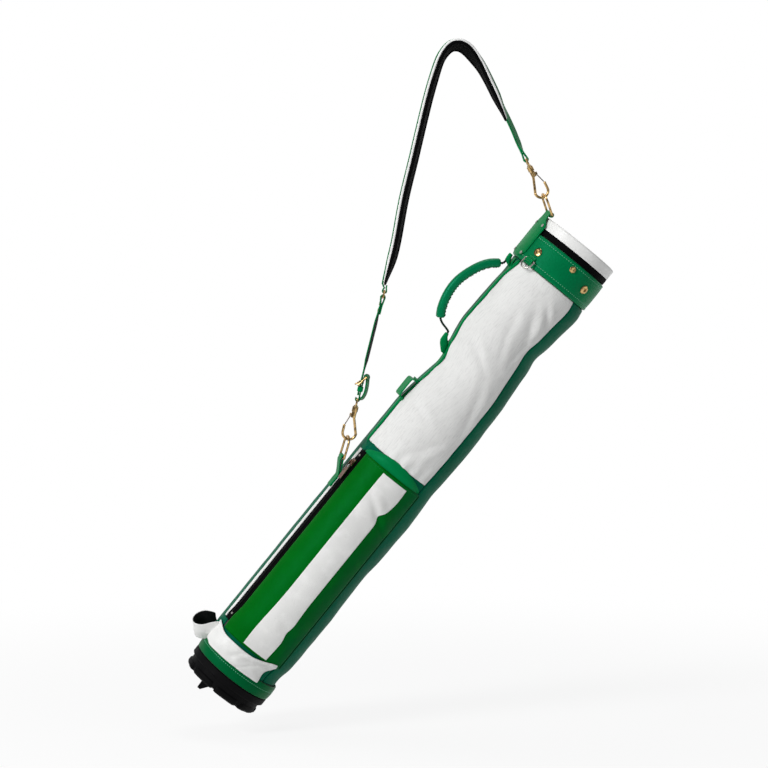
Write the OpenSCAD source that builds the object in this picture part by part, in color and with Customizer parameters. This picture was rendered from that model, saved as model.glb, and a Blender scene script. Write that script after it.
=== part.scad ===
// Slim golf carry bag hanging by its shoulder strap.
// Origin: underside of the strap's crown. +X right, +Y away from the viewer, +Z up.
// The bag is built upright on its own axis, w to the right, h along the axis, and then hung tilted.

/* [Bag] */
// Height of the bag from the base plane to the rim
bag_h = 862; // [780:1:950]
// Radius of the stiff tube, outside
tube_r = 64; // [60:0.5:66]
// Wall of the stiff tube
tube_wall = 1.6; // [1:0.1:2.5]
// Thickness of the lining
lining_t = 0.8; // [0.5:0.1:1.2]
// Thickness of the outer fabric and leather panels
panel_t = 1.3; // [0.8:0.1:1.6]
// Clearance between one layer and the next
layer_gap = 0.3; // [0.2:0.05:0.4]
// Lean of the bag's axis away from upright as it hangs
bag_tilt = 38.9; // [30:0.1:45]
// Azimuth of the spine, from the front, negative to the left
spine_a = -71; // [-80:1:-60]

/* [Mouth] */
// Inside radius of the mouth cuff
mouth_r = 60; // [56:0.5:60.5]
// Length of the cuff's sleeve inside the tube
cuff_sleeve = 46; // [30:1:60]
// Height of the cuff's rim above the black band
cuff_rim_h = 17; // [12:1:22]
// Outside radius of the cuff's rim
cuff_rim_r = 66.8; // [66.3:0.1:68]
// Height of the black band
band_h = 10; // [8:1:12]
// Thickness of the black band
band_t = 2.4; // [1.5:0.1:3]
// Height of the leather collar
collar_h = 48; // [40:1:56]
// Thickness of the padded collar
collar_t = 5; // [4:0.1:5.4]

/* [Snaps] */
// Radius of the large snaps
snap_r = 6.6; // [6:0.1:7]
// Radius of the small snaps
small_snap_r = 5; // [4:0.1:5.5]
// Radius of a large snap's socket
socket_r = 2.2; // [2:0.1:2.5]
// Height of a snap
snap_t = 2.2; // [1.8:0.1:2.6]
// Thickness of the floor under a snap's socket
snap_floor = 0.5; // [0.4:0.1:0.8]

/* [Pocket] */
// Lower edge of the pocket
pocket_low = 90; // [88:1:100]
// Length of the pocket
pocket_len = 328; // [280:1:330]
// Left edge of the pocket's front, as an azimuth
pocket_left = -50; // [-52:1:-48]
// Right edge of the pocket's front, as an azimuth
pocket_right = 44; // [40:1:46]
// Radius of the pocket's front at its edges
pocket_r = 69.6; // [69:0.1:70]
// Rise of the pocket's front in the middle
pocket_rise = 5; // [3:0.5:8]
// Width of the white stripe as an angle
stripe_span = 35; // [25:1:36]
// Azimuth of the white stripe's middle
stripe_a = 5; // [2:1:8]
// Width of the zipper's tape as an angle
zip_span = 12; // [10:1:13]
// Width of the zipper's chain
chain_w = 4; // [3:0.5:5]
// Height of the zipper's chain
chain_t = 1.2; // [0.8:0.1:1.5]
// Length of the zip pull
pull_len = 31; // [25:1:36]

/* [Base] */
// Height of the rubber boot
boot_h = 19; // [16:1:22]
// Radius of the rubber boot
boot_r = 62; // [60:0.5:64]
// Height of the boot's flange
flange_h = 12; // [10:1:13]
// Radius of the flange
flange_r = 66.4; // [66:0.1:68]
// Height of the leather band above the flange
foot_band_h = 24; // [20:1:28]
// Height of the fin under the base
fin_h = 22; // [16:1:24]
// Length of the fin along the base
fin_len = 22; // [18:1:26]
// Thickness of the fin
fin_t = 9; // [6:0.5:12]
// Width of the grab strap
grab_w = 38; // [34:1:40]
// Outside radius of the grab strap's loop
loop_r = 15; // [12:0.5:17]
// Width of the loop's strap
loop_w = 23; // [20:1:26]

/* [Handle] */
// Radius of the handle's grip
grip_r = 7.4; // [6:0.1:8]
// Radius of the handle's core cord
core_r = 2.2; // [1.8:0.1:2.6]
// Bore clearance round the core cord in its anchors
core_clear = 0.4; // [0.3:0.05:0.5]
// Radius from the bag's axis to the line that the handle swings about
handle_axis_r = 75; // [74.5:0.1:77]
// Height of the handle's lower end
handle_low = 626; // [615:1:635]
// Length of one leather anchor
anchor_len = 12; // [10:1:14]

/* [Rings] */
// Radius of the ring's wire
ring_wire = 1.7; // [1.5:0.1:2]
// Half width of a strap ring
ring_half = 12; // [10:0.5:13]
// Depth of a strap ring, from its bar to its apex
ring_depth = 32.5; // [31:0.5:34]
// Lean of the upper ring away from the bag's axis
upper_lean = 60; // [50:1:65]
// Lean of the lower ring away from the bag's axis
lower_lean = 23; // [20:1:30]
// Clearance round a ring's bar in its leather tab
bar_clear = 0.3; // [0.2:0.05:0.4]
// Thickness of a leather tab
tab_t = 1.8; // [1.5:0.1:2]

/* [Hooks] */
// Radius of a hook's wire
hook_wire = 2; // [1.8:0.1:2.2]
// Inside radius of a hook's bend
bend_r = 8; // [7:0.5:9]
// Length from the hook's bend to the strap's loop
hook_len = 60; // [58:1:66]
// Height of the swivel barrel
barrel_h = 8; // [6:0.5:8]
// Radius of the swivel's neck
neck_r = 2; // [1.8:0.1:2.2]
// Running clearance of the swivel
swivel_clear = 0.3; // [0.2:0.05:0.4]
// Gap between a hook and the ring that hangs in it
link_gap = 0.8; // [0.7:0.05:0.9]

/* [Strap] */
// Distance between the two hooks along the bag
hook_span = 466; // [460:1:472]
// Place of the upper hook's bend, to the right of the crown
hook_x = 129.8; // [129:0.1:131]
// Drop of the upper hook's bend below the crown
hook_drop = 216; // [215:0.5:217]
// Slant of the upper hook and strap end
upper_slant = -26.6; // [-27:0.1:-26]
// Slant of the lower hook and strap
lower_slant = 14; // [13.5:0.1:14.5]
// Width of the shoulder pad
pad_w = 50; // [44:1:56]
// Thickness of the pad's white cover
cover_t = 4; // [3:0.1:5]
// Thickness of the pad's mesh liner
liner_t = 4.4; // [3.5:0.1:5]
// Width of the leather strap
strap_w = 16; // [14:0.5:17]
// Thickness of the leather strap
strap_t = 2.4; // [2:0.1:2.6]
// Radius of the buckle's and link ring's wire
frame_wire = 1.5; // [1.3:0.1:1.7]
// Height of the buckle along the strap, above the lower hook's bend
buckle_at = 95; // [90:1:100]
// Height of the link ring along the strap, above the lower hook's bend
link_at = 222; // [219:1:225]

/* [Hidden] */
$fn = 48;
eps = 0.01;
full = 360;

// ---------- places ----------
function around(r, a, h) = [r * sin(a), -r * cos(a), h];
function unit(v) = v / norm(v);

// The bag hangs from the two ring contacts, which lie on the spine's ray in the plane y = 0
hinge_r = 93.5;
upper_contact_h = bag_h + 21;
lower_contact_h = upper_contact_h - hook_span;
bag_y = hinge_r * cos(spine_a);
contact_w = hinge_r * sin(spine_a);
bag_x = hook_x - contact_w * cos(bag_tilt) - upper_contact_h * sin(bag_tilt);
bag_z = -hook_drop + contact_w * sin(bag_tilt) - upper_contact_h * cos(bag_tilt);
lower_x = hook_x - hook_span * sin(bag_tilt);
lower_z = -hook_drop - hook_span * cos(bag_tilt);

module hang() translate([bag_x, bag_y, bag_z]) rotate([0, bag_tilt, 0]) children();
// Local X points out from the bag's axis, local Y along the surface, local Z up the bag
module at_angle(a) rotate([0, 0, a - 90]) children();
// The hooks' own frames: origin at the bend, Z up the strap
module upper_line() translate([hook_x, 0, -hook_drop]) rotate([0, upper_slant, 0]) children();
module lower_line() translate([lower_x, 0, lower_z]) rotate([0, lower_slant, 0]) children();
module across(width) rotate([90, 0, 0]) linear_extrude(width, center = true) children();

// ---------- meshes ----------
function grid_faces(rows, cols, first, flip) = [
  for (i = [0:rows - 2], j = [0:cols - 2])
    let (a = first + i * cols + j, b = a + 1, c = a + cols, d = c + 1)
      each flip ? [[a, c, b], [b, c, d]] : [[a, b, c], [b, d, c]]
];
function edge_faces(list_a, list_b) = [
  for (k = [0:len(list_a) - 2])
    each [[list_a[k], list_b[k], list_a[k + 1]], [list_a[k + 1], list_b[k], list_b[k + 1]]]
];
// A closed skin between a lower and an upper grid of points
module skin(low, high) {
  rows = len(low);
  cols = len(low[0]);
  size = rows * cols;
  points = [for (row = low) each row, for (row = high) each row];
  row_0 = [for (j = [0:cols - 1]) j];
  row_n = [for (j = [0:cols - 1]) (rows - 1) * cols + j];
  col_0 = [for (i = [0:rows - 1]) i * cols];
  col_n = [for (i = [0:rows - 1]) i * cols + cols - 1];
  faces = concat(
    grid_faces(rows, cols, 0, true),
    grid_faces(rows, cols, size, false),
    edge_faces([for (k = row_0) k + size], row_0),
    edge_faces(row_n, [for (k = row_n) k + size]),
    edge_faces(col_0, [for (k = col_0) k + size]),
    edge_faces([for (k = col_n) k + size], col_n)
  );
  polyhedron(points, faces);
}
// A mesh closed both ways: a list of closed profiles, carried right round
module ring_mesh(profiles) {
  rows = len(profiles);
  cols = len(profiles[0]);
  points = [for (p = profiles) each p];
  faces = [
    for (i = [0:rows - 1], j = [0:cols - 1])
      let (i2 = (i + 1) % rows, j2 = (j + 1) % cols)
      let (a = i * cols + j, b = i * cols + j2, c = i2 * cols + j, d = i2 * cols + j2)
        each [[a, b, c], [b, d, c]]
  ];
  polyhedron(points, faces);
}
// A solid swept through closed sections, flat at both ends
module sweep(sections) {
  rows = len(sections);
  cols = len(sections[0]);
  points = [for (s = sections) each s];
  sides = [
    for (i = [0:rows - 2], j = [0:cols - 1])
      let (j2 = (j + 1) % cols)
      let (a = i * cols + j, b = i * cols + j2, c = a + cols, d = b + cols)
        each [[a, c, b], [b, c, d]]
  ];
  start = [for (j = [0:cols - 1]) j];
  finish = [for (j = [cols - 1:-1:0]) (rows - 1) * cols + j];
  polyhedron(points, concat(sides, [start, finish]));
}
// A path in the XZ plane, as [x, z]. A section point is [out, y], out being to the path's left
function tangent(path, i) = unit(path[min(i + 1, len(path) - 1)] - path[max(i - 1, 0)]);
function outward(path, i) = let (t = tangent(path, i)) [t[1], -t[0]];
function offset_path(path, by) = [for (i = [0:len(path) - 1]) path[i] + by * outward(path, i)];
function sections_on(path, section, widths) = [
  for (i = [0:len(path) - 1])
    let (n = outward(path, i), k = is_undef(widths) ? 1 : widths[i])
      [for (s = section) [path[i][0] + n[0] * s[0], s[1] * k, path[i][1] + n[1] * s[0]]]
];
function round_section(r, sides) =
  [for (k = [0:sides - 1]) r * [cos(360 * k / sides), sin(360 * k / sides)]];

// ---------- the soft body's outline ----------
// Heights up the bag count from 14 mm below the flange
flange_low = 14;
boot_low = flange_low - boot_h;
foot_low = flange_low + flange_h;
foot_top = foot_low + foot_band_h;
body_top = bag_h - cuff_rim_h - band_h - collar_h;
tube_seat = 4.8;
// Height of the soft body that the outlines below are given for
outline_low = 26;
outline_len = 761;
function up(h) = foot_low + (h - outline_low) * (body_top - foot_low) / outline_len;
// How far the left and right edges stand out from the tube's radius, by height
left_outline = [for (p = [
  [26, 0], [86, 2], [514, 1.5], [552, -4], [596, -12], [634, -3], [664, 2], [739, -0.5], [764, -2.5],
  [787, 0]
]) [up(p[0]), p[1]]];
right_outline = [for (p = [
  [26, 0], [62, -5], [86, 1], [184, 2], [269, -1], [289, 2], [364, 4], [427, 1], [454, 3], [514, 4.5],
  [596, 2], [664, -4], [684, -8], [709, -2.5], [739, 0.5], [764, 4], [779, 4],
  [787, 0]
]) [up(p[0]), p[1]]];
outline_heights = [62, 86, 184, 269, 289, 364, 427, 454, 514, 552, 596, 634, 664, 684, 709, 739, 764, 779];
body_heights = [foot_low - tube_seat, for (h = outline_heights) up(h), body_top];
function edge_left(h) = tube_r + lookup(h, left_outline);
function edge_right(h) = tube_r + lookup(h, right_outline);
// A point on the body's outside, lifted by off
function body_point(a, h, off) =
  let (mid = (edge_right(h) - edge_left(h)) / 2, half = (edge_right(h) + edge_left(h)) / 2)
    [mid + (half + off) * sin(a), -(tube_r + off) * cos(a), h];
function body_r(a, h) = let (p = body_point(a, h, 0)) norm([p[0], p[1]]);
function angles(a0, a1, n) = [for (i = [0:n]) a0 + (a1 - a0) * i / n];
module body_skin(a0, a1, n, heights, off, t) {
  skin(
    [for (a = angles(a0, a1, n)) [for (h = heights) body_point(a, h, off)]],
    [for (a = angles(a0, a1, n)) [for (h = heights) body_point(a, h, off + t)]]
  );
}
module body_ring(heights, off, t, n) {
  up = [for (k = [len(heights) - 1:-1:0]) heights[k]];
  ring_mesh([
    for (i = [0:n - 1])
      let (a = full * i / n)
        concat([for (h = heights) body_point(a, h, off + t)], [for (h = up) body_point(a, h, off)])
  ]);
}
// A round band about the bag's axis
module band(r_in, r_out, h0, h1, round) {
  translate([0, 0, h0])
    rotate_extrude($fn = 96)
      polygon([
        [r_in, 0], [r_out - round, 0], [r_out, round],
        [r_out, h1 - h0 - round], [r_out - round, h1 - h0], [r_in, h1 - h0]
      ]);
}

band_low = bag_h - cuff_rim_h - band_h;
skin_off = layer_gap;
skin_top = skin_off + panel_t;
seam_left = -55;
seam_right = 43;
pocket_top = pocket_low + pocket_len;
front_low = pocket_top + 16;

// ---------- bag body ----------
module body_tube() {
  color("dimgray") hang() body_ring(concat(body_heights, [bag_h - cuff_rim_h]), -tube_wall, tube_wall, 32);
}
module lining() {
  off = -tube_wall - layer_gap - lining_t;
  heights = [for (h = body_heights) if (h < body_top) h, body_top];
  color("black") hang() body_ring(heights, off, lining_t, 32);
}
module front_panel() {
  heights = [front_low, for (h = body_heights) if (h > front_low && h < body_top) h, body_top - layer_gap];
  color("gainsboro") hang() body_skin(seam_left, seam_right, 12, heights, skin_off, panel_t);
}
module back_panel() {
  low = foot_top + layer_gap;
  heights = [low, for (h = body_heights) if (h > low && h < body_top) h, body_top - layer_gap];
  color("seagreen") hang() {
    body_skin(seam_right + 1, full + seam_left - 6, 34, heights, skin_off, panel_t);
    lower = [for (h = heights) if (h < front_low) h, front_low - layer_gap];
    body_skin(seam_left, seam_right, 12, lower, skin_off, panel_t);
  }
}
module spine_piping() {
  low = pocket_top + 12;
  heights = [low, for (h = body_heights) if (h > low && h < body_top) h, body_top - layer_gap];
  color("darkgreen") hang() body_skin(seam_left - 5.5, seam_left - 0.5, 2, heights, skin_off,
    panel_t + 1.2);
}
module sector(r_in, r_out, h0, h1, a0, a1) {
  translate([0, 0, h0]) rotate([0, 0, a0 - 90])
    rotate_extrude(angle = a1 - a0, $fn = 96) translate([r_in, 0]) square([r_out - r_in, h1 - h0]);
}
collar_r = tube_r + layer_gap + collar_t;
strip_r = collar_r + layer_gap;
strip_top = strip_r + tab_t;
strip_half = 17;
strip_low = body_top + 3;

// ---------- strap rings on the bag ----------
ring_reach = ring_depth - ring_wire - link_gap / 2;
upper_bar = [hinge_r - ring_reach * sin(upper_lean), upper_contact_h - ring_reach * cos(upper_lean)];
lower_bar = [hinge_r - ring_reach * sin(lower_lean), lower_contact_h - ring_reach * cos(lower_lean)];
bar_hole = ring_wire + bar_clear;
bar_wrap = bar_hole + tab_t;
tab_w = 2 * (ring_half - ring_wire - 0.6);

module spine_strip() {
  color("seagreen") hang() {
    difference() {
      union() {
        sector(strip_r, strip_top, strip_low, bag_h + 2, spine_a - strip_half, spine_a + strip_half);
        at_angle(spine_a) across(tab_w) {
          translate(upper_bar) circle(bar_wrap);
          translate([upper_bar[0] + bar_hole, bag_h - 4])
            square([strip_top - upper_bar[0] - bar_hole, upper_bar[1] - bag_h + 6]);
        }
      }
      at_angle(spine_a) across(2 * strip_r) translate(upper_bar) circle(bar_hole);
      for (a = rivet_angles, h = rivet_heights)
        at_angle(spine_a + a) translate([strip_r - 1, 0, h]) rotate([0, 90, 0])
          cylinder(r = rivet_r + 0.1, h = 5, $fn = 24);
    }
  }
}
rivet_angles = [-12, 12];
rivet_heights = [strip_low + 6, bag_h - 15];
rivet_r = 1.2;
rivet_cap = 2.6;
module spine_rivets() {
  color("silver") hang()
    for (a = rivet_angles, h = rivet_heights) at_angle(spine_a + a) translate([strip_r, 0, h])
      rotate([0, 90, 0]) {
      cylinder(r = rivet_r, h = tab_t + 0.6, $fn = 24);
      translate([0, 0, tab_t + 0.4]) cylinder(r = rivet_cap, h = 0.9, $fn = 32);
    }
}
module wire(p, q, r) {
  v = q - p;
  translate(p) rotate([0, acos(v[2] / norm(v)), atan2(v[1], v[0])]) cylinder(r = r, h = norm(v), $fn = 32);
}
// A D-ring in the YZ plane, its bar along Y at the origin
module d_ring(half, depth, r) {
  rise = depth - half;
  wire([0, -half, 0], [0, half, 0], r);
  for (s = [-1, 1]) {
    translate([0, s * half, 0]) sphere(r, $fn = 32);
    wire([0, s * half, 0], [0, s * half, rise], r);
  }
  translate([0, 0, rise]) rotate([90, 0, 90]) rotate_extrude(angle = 180) translate([half, 0])
    circle(r, $fn = 32);
}
module at_bar(bar, lean) at_angle(spine_a) translate([bar[0], 0, bar[1]]) rotate([0, lean, 0]) children();
module upper_ring() color("gold") hang() at_bar(upper_bar, upper_lean)
  d_ring(ring_half, ring_depth, ring_wire);
module lower_ring() color("gold") hang() at_bar(lower_bar, lower_lean)
  d_ring(ring_half, ring_depth, ring_wire);
lower_tab_len = 46;
lower_tab_w = 15;
module lower_ring_tab() {
  low = lower_bar[1] - lower_tab_len;
  seat = spine_seat(low, low + 24);
  color("seagreen") hang() at_angle(spine_a) difference() {
    across(lower_tab_w) {
      translate(lower_bar) circle(bar_wrap);
      polygon([
        [seat, low], [seat + 2 * tab_t, low], [seat + 2 * tab_t, low + 16],
        lower_bar + [bar_wrap * 0.9, -bar_wrap * 0.5], lower_bar + [-bar_wrap * 0.6, -bar_wrap * 0.7],
          [seat, low + 24]
      ]);
    }
    across(3 * tab_w) translate(lower_bar) circle(bar_hole);
  }
}
// Accessory ring, lying on the collar's lower edge in its leather tab
accessory_a = -38;
accessory_h = body_top + 8;
accessory_half = 9;
accessory_depth = 15;
accessory_wire = 1.3;
accessory_bar = [collar_r + layer_gap + tab_t + accessory_wire + bar_clear, accessory_h];
module accessory_tab() {
  seat = collar_r + layer_gap;
  hole = accessory_wire + bar_clear;
  color("seagreen") hang() at_angle(accessory_a) difference() {
    across(2 * (accessory_half - accessory_wire - 0.6)) {
      translate(accessory_bar) circle(hole + tab_t);
      translate([seat, accessory_h]) square([tab_t + 1, 7]);
    }
    across(4 * accessory_half) translate(accessory_bar) circle(hole);
  }
}
module accessory_ring() {
  color("gold") hang() at_angle(accessory_a) translate([accessory_bar[0], 0, accessory_bar[1]])
    rotate([0, 168, 0]) d_ring(accessory_half, accessory_depth, accessory_wire);
}

// ---------- mouth ----------
module mouth_cuff() {
  sleeve_r = tube_r - tube_wall - layer_gap;
  rim_low = bag_h - cuff_rim_h;
  color("white") hang()
    translate([0, 0, rim_low - cuff_sleeve]) rotate_extrude($fn = 96) difference() {
      union() {
        translate([mouth_r, 0]) square([sleeve_r - mouth_r, cuff_sleeve + 1]);
        translate([mouth_r, cuff_sleeve + 0.2]) square([cuff_rim_r - mouth_r, cuff_rim_h - 3.2]);
        translate([mouth_r, cuff_sleeve + cuff_rim_h - 3.5]) square([cuff_rim_r - mouth_r - 3, 3.5]);
        translate([cuff_rim_r - 3, cuff_sleeve + cuff_rim_h - 3]) circle(3);
      }
    }
}
module black_band() {
  color("black") hang() band(tube_r + layer_gap, tube_r + layer_gap + band_t, band_low + 0.2,
    bag_h - cuff_rim_h - 0.1, 0.6);
}
module collar() {
  color("seagreen") hang() difference() {
    band(tube_r + layer_gap, collar_r, body_top, band_low, 1.6);
    for (a = concat(large_snap_angles, small_snap_angles)) snap_at(a) translate([0, 0, -3])
      cylinder(r = post_r + 0.1, h = 6, $fn = 24);
  }
}
large_snap_angles = [spine_a + 33, spine_a + 112, spine_a - 33, spine_a - 112];
small_snap_angles = [spine_a + 81.6, spine_a - 81.6];
large_snap_h = bag_h - 51;
post_r = 1.5;
small_snap_h = bag_h - 39;
function is_small(a) = len([for (s = small_snap_angles) if (s == a) 1]) > 0;
module snap_at(a) at_angle(a) translate([collar_r, 0, is_small(a) ? small_snap_h : large_snap_h])
  rotate([0, 90, 0]) children();
module snap(r, hole) {
  translate([0, 0, -2.5]) cylinder(r = post_r, h = 2.8, $fn = 24);
  translate([0, 0, 0.1]) rotate_extrude($fn = 48) polygon([
    [0, 0], [r, 0], [r, snap_t * 0.35], [r - 0.9, snap_t * 0.8], [r * 0.6, snap_t], [hole, snap_t],
      [hole, snap_floor], [0, snap_floor]
  ]);
}
module large_snaps() color("goldenrod") hang() for (a = large_snap_angles) snap_at(a)
  snap(snap_r, socket_r);
module small_snaps() color("goldenrod") hang() for (a = small_snap_angles) snap_at(a)
  snap(small_snap_r, socket_r - 0.4);

// ---------- handle ----------
anchor_r = core_r + core_clear + tab_t;
upper_anchor_h = body_top - anchor_len - 2;
// The core's path as [distance from the axis, height]
handle_path = [
  [handle_axis_r, upper_anchor_h + anchor_len], [handle_axis_r, upper_anchor_h - 1], [77, 766], [84, 761],
  [93, 753.5], [102, 741], [108.5, 727], [113.5, 712], [115.7, 698], [115.2, 685], [112.5, 671], [107, 656],
  [100, 645], [92, 640], [82, 637.5], [handle_axis_r + 1, 635.5],
    [handle_axis_r, handle_low + anchor_len / 2], [handle_axis_r, handle_low - anchor_len / 2]
];
grip_path = [for (i = [3:12]) handle_path[i]];
module handle_core() {
  color("darkgreen") hang() at_angle(spine_a) sweep(sections_on(handle_path, round_section(core_r, 10)));
}
module handle_grip() {
  inner = [for (s = sections_on(grip_path, round_section(core_r + 0.3, 10))) s];
  outer = sections_on(grip_path, round_section(grip_r, 10));
  color("seagreen") hang() at_angle(spine_a)
    ring_mesh([for (j = [0:9]) concat([for (s = outer) s[j]], [for (i = [len(inner) - 1:-1:0])
      inner[i][j]])]);
}
// Where a piece that spans h0 to h1 rests on the spine
function spine_seat(h0, h1) =
  max([for (i = [0:6]) body_r(spine_a, h0 + (h1 - h0) * i / 6)]) + skin_top + layer_gap;
anchor_tail = 22;
module anchor(h) {
  seat = spine_seat(h - anchor_tail, h + anchor_len);
  difference() {
    union() {
      translate([handle_axis_r, 0, h]) cylinder(r = anchor_r, h = anchor_len);
      translate([seat, -anchor_r, h]) cube([handle_axis_r - seat, 2 * anchor_r, anchor_len]);
      translate([seat, -anchor_r, h - anchor_tail]) cube([tab_t, 2 * anchor_r, anchor_tail + 1]);
    }
    translate([handle_axis_r, 0, h - 25]) cylinder(r = core_r + core_clear, h = anchor_len + 50);
  }
}
module handle_anchors() {
  color("darkgreen") hang() at_angle(spine_a) {
    anchor(upper_anchor_h);
    anchor(handle_low - anchor_len / 2);
  }
}
// Loop for a towel, low on the spine
towel_h = 531;
towel_half = 15;
towel_rise = 10.5;
module towel_loop() {
  seat = spine_seat(towel_h - towel_half, towel_h + towel_half);
  color("seagreen") hang() at_angle(spine_a) across(20) translate([seat, towel_h]) {
    difference() {
      intersection() {
        scale([towel_rise / towel_half, 1]) circle(towel_half);
        translate([0, -towel_half]) square(2 * towel_half);
      }
      scale([(towel_rise - tab_t) / towel_half, (towel_half - 2) / towel_half]) circle(towel_half);
    }
  }
}

// ---------- pocket ----------
gusset_in = tube_r + 4.2;
pocket_heights = [pocket_low, pocket_low + 20, pocket_low + 110, pocket_low + 220, pocket_top - 20,
  pocket_top];
// The front rises from its edges to its middle, and draws in at both ends
function pocket_lift(a, h) =
  let (u = (a - pocket_left) / (pocket_right - pocket_left), v = (h - pocket_low) / pocket_len)
    pocket_rise * sin(180 * min(max(u, 0), 1)) * (1 - pow(2 * v - 1, 6));
function pocket_point(a, h, off) = around(pocket_r + pocket_lift(a, h) + off, a, h);
module pocket_skin(a0, a1, n, h0, h1, off, t) {
  heights = [h0, for (h = pocket_heights) if (h > h0 + 2 && h < h1 - 2) h, h1];
  skin(
    [for (a = angles(a0, a1, n)) [for (h = heights) pocket_point(a, h, off)]],
    [for (a = angles(a0, a1, n)) [for (h = heights) pocket_point(a, h, off + t)]]
  );
}
module pocket_front() {
  color("green") hang() {
    pocket_skin(pocket_left, pocket_right, 14, pocket_low, pocket_top, 0, panel_t);
    // side and end walls that join the front to the body
    sector(gusset_in, pocket_r - layer_gap, pocket_low, pocket_top, pocket_right - 1.5, pocket_right);
    sector(gusset_in, pocket_r - layer_gap, pocket_low, pocket_low + 1.5, pocket_left, pocket_right - 2);
    sector(gusset_in, pocket_r - layer_gap, pocket_top - 1.5, pocket_top, pocket_left, pocket_right - 2);
  }
}
module pocket_stripe() {
  color("white") hang()
    pocket_skin(stripe_a - stripe_span / 2, stripe_a + stripe_span / 2, 6, pocket_low + 6,
      pocket_top - 6, panel_t + 0.2, 0.8);
}
zip_a0 = pocket_left - zip_span;
zip_a1 = pocket_left - 0.5;
zip_a = (zip_a0 + zip_a1) / 2;
module pocket_gusset() {
  color("white") hang() {
    sector(gusset_in, pocket_r, pocket_low, pocket_top, zip_a0 - 1.8, zip_a0 - 0.5);
  }
}
module zipper_tape() color("black") hang() sector(pocket_r - 1, pocket_r, pocket_low, pocket_top,
  zip_a0, zip_a1);
chain_low = pocket_low + 14;
chain_top = pocket_top - 12;
chain_in = pocket_r + 0.1;
chain_out = chain_in + chain_t;
chain_span = chain_w / pocket_r * 180 / PI;
slider_h = chain_top - 18;
module zipper_chain() {
  // two rows of teeth, shut
  color("dimgray") hang() for (s = [-1, 1])
    sector(chain_in, chain_out, chain_low, chain_top, zip_a + (s - 1) * chain_span / 2 + 0.05,
      zip_a + (s + 1) * chain_span / 2 - 0.05);
}
module zipper_stops() {
  color("silver") hang() for (h = [chain_low - 3.5, chain_top + 0.5])
    at_angle(zip_a) translate([chain_in, -chain_w / 2, h]) cube([chain_t, chain_w, 3]);
}
slider_w = chain_w + 5;
slider_l = 11;
slider_t = 2;
slider_in = chain_out + layer_gap;
pull_wire = 0.9;
pull_r = slider_in + slider_t + 1.6;
module zip_slider() {
  color("silver") hang() at_angle(zip_a) translate([slider_in, 0, slider_h]) {
    difference() {
      union() {
        translate([0, -slider_w / 2, 0]) cube([slider_t, slider_w, slider_l]);
        for (s = [-1, 1]) translate([slider_t - 0.1, s * 1.9 - 0.7, 3]) cube([3.2, 1.4, 5]);
      }
      translate([pull_r - slider_in, 0, 5.5]) rotate([90, 0, 0]) cylinder(r = pull_wire + 0.2, h = 20,
        center = true, $fn = 32);
    }
  }
}
module zip_pull() {
  lean = 3;
  color("silver") hang() at_angle(zip_a) translate([pull_r, 0, slider_h + 5.5]) {
    rotate([90, 0, 0]) cylinder(r = pull_wire, h = 7, center = true, $fn = 32);
    translate([-pull_wire + 0.6, 0, 0]) rotate([0, lean, 0]) {
      for (s = [-1, 1]) translate([0, s * 3.3 - 0.6, -12]) cube([1.2, 1.2, 12.6]);
      translate([0, 0, -pull_len]) linear_extrude(pull_len - 11) translate([0, -3.9]) square([1.2, 7.8]);
    }
  }
}
welt_rise = 2.2;
welt_half = 6.4;
module pocket_welt() {
  // a lens of leather between the pocket and the front panel
  mid = (pocket_top + front_low) / 2;
  a0 = seam_left + 1;
  a1 = seam_right - 2;
  function half_at(a) = welt_half * sqrt(max(0.05, sin(180 * (a - a0) / (a1 - a0))));
  rows = angles(a0, a1, 12);
  low = skin_top + layer_gap;
  color("seagreen") hang() skin(
    [for (a = rows) [for (k = [-1, 0, 1]) body_point(a, mid + k * half_at(a), low)]],
    [for (a = rows) [for (k = [-1, 0, 1]) body_point(a, mid + k * half_at(a),
      low + 1.2 + welt_rise * (1 - abs(k)))]]
  );
}

// ---------- base ----------
module foot_band() {
  color("seagreen") hang() band(tube_r + 1.2, tube_r + 1.2 + panel_t, foot_low + layer_gap, foot_top, 0.4);
}
module base_flange() color("black") hang() difference() {
  band(boot_r - 8, flange_r, flange_low, foot_low, 1.5);
  translate([0, 0, foot_low - tube_seat - 0.2]) cylinder(r = tube_r + 0.2, h = tube_seat + 1, $fn = 96);
}
lug_count = 16;
lug_w = 11;
lug_drop = 2;
module base_boot() {
  // lugs stand out below the sole and round its edge
  color("black") hang() translate([0, 0, boot_low]) difference() {
    union() {
      rotate_extrude($fn = 96) polygon([[0, lug_drop], [boot_r - 5, lug_drop],
        [boot_r - 1.5, lug_drop + 1.5], [boot_r, lug_drop + 5], [boot_r, boot_h], [0, boot_h]]);
      for (i = [0:lug_count - 1]) rotate([90, 0, full * i / lug_count])
        linear_extrude(lug_w, center = true) polygon([[boot_r - 14, 0], [boot_r - 2, 0],
          [boot_r + 1.6, 4], [boot_r + 1.6, 9], [boot_r - 1, 12], [boot_r - 14, 12]]);
    }
    for (a = screw_angles) rotate([0, 0, a]) translate([screw_at, 0, -1]) {
      cylinder(r = screw_r + 0.2, h = boot_h + 2, $fn = 32);
      cylinder(r = screw_head_r + 0.3, h = screw_low + head_t + 1.2, $fn = 32);
    }
  }
}
fin_w = -17;
module base_fin() {
  color("black") hang() translate([fin_w, 0, boot_low + lug_drop - layer_gap]) rotate([90, 0, 0])
    linear_extrude(fin_t, center = true)
    polygon([[-fin_len / 2, 0], [fin_len / 2, 0], [-fin_len / 2 + 6, -fin_h], [-fin_len / 2 + 1, -fin_h]]);
}
screw_angles = [30, 150, 270];
screw_at = 44;
screw_r = 2.4;
screw_head_r = 4.5;
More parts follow.
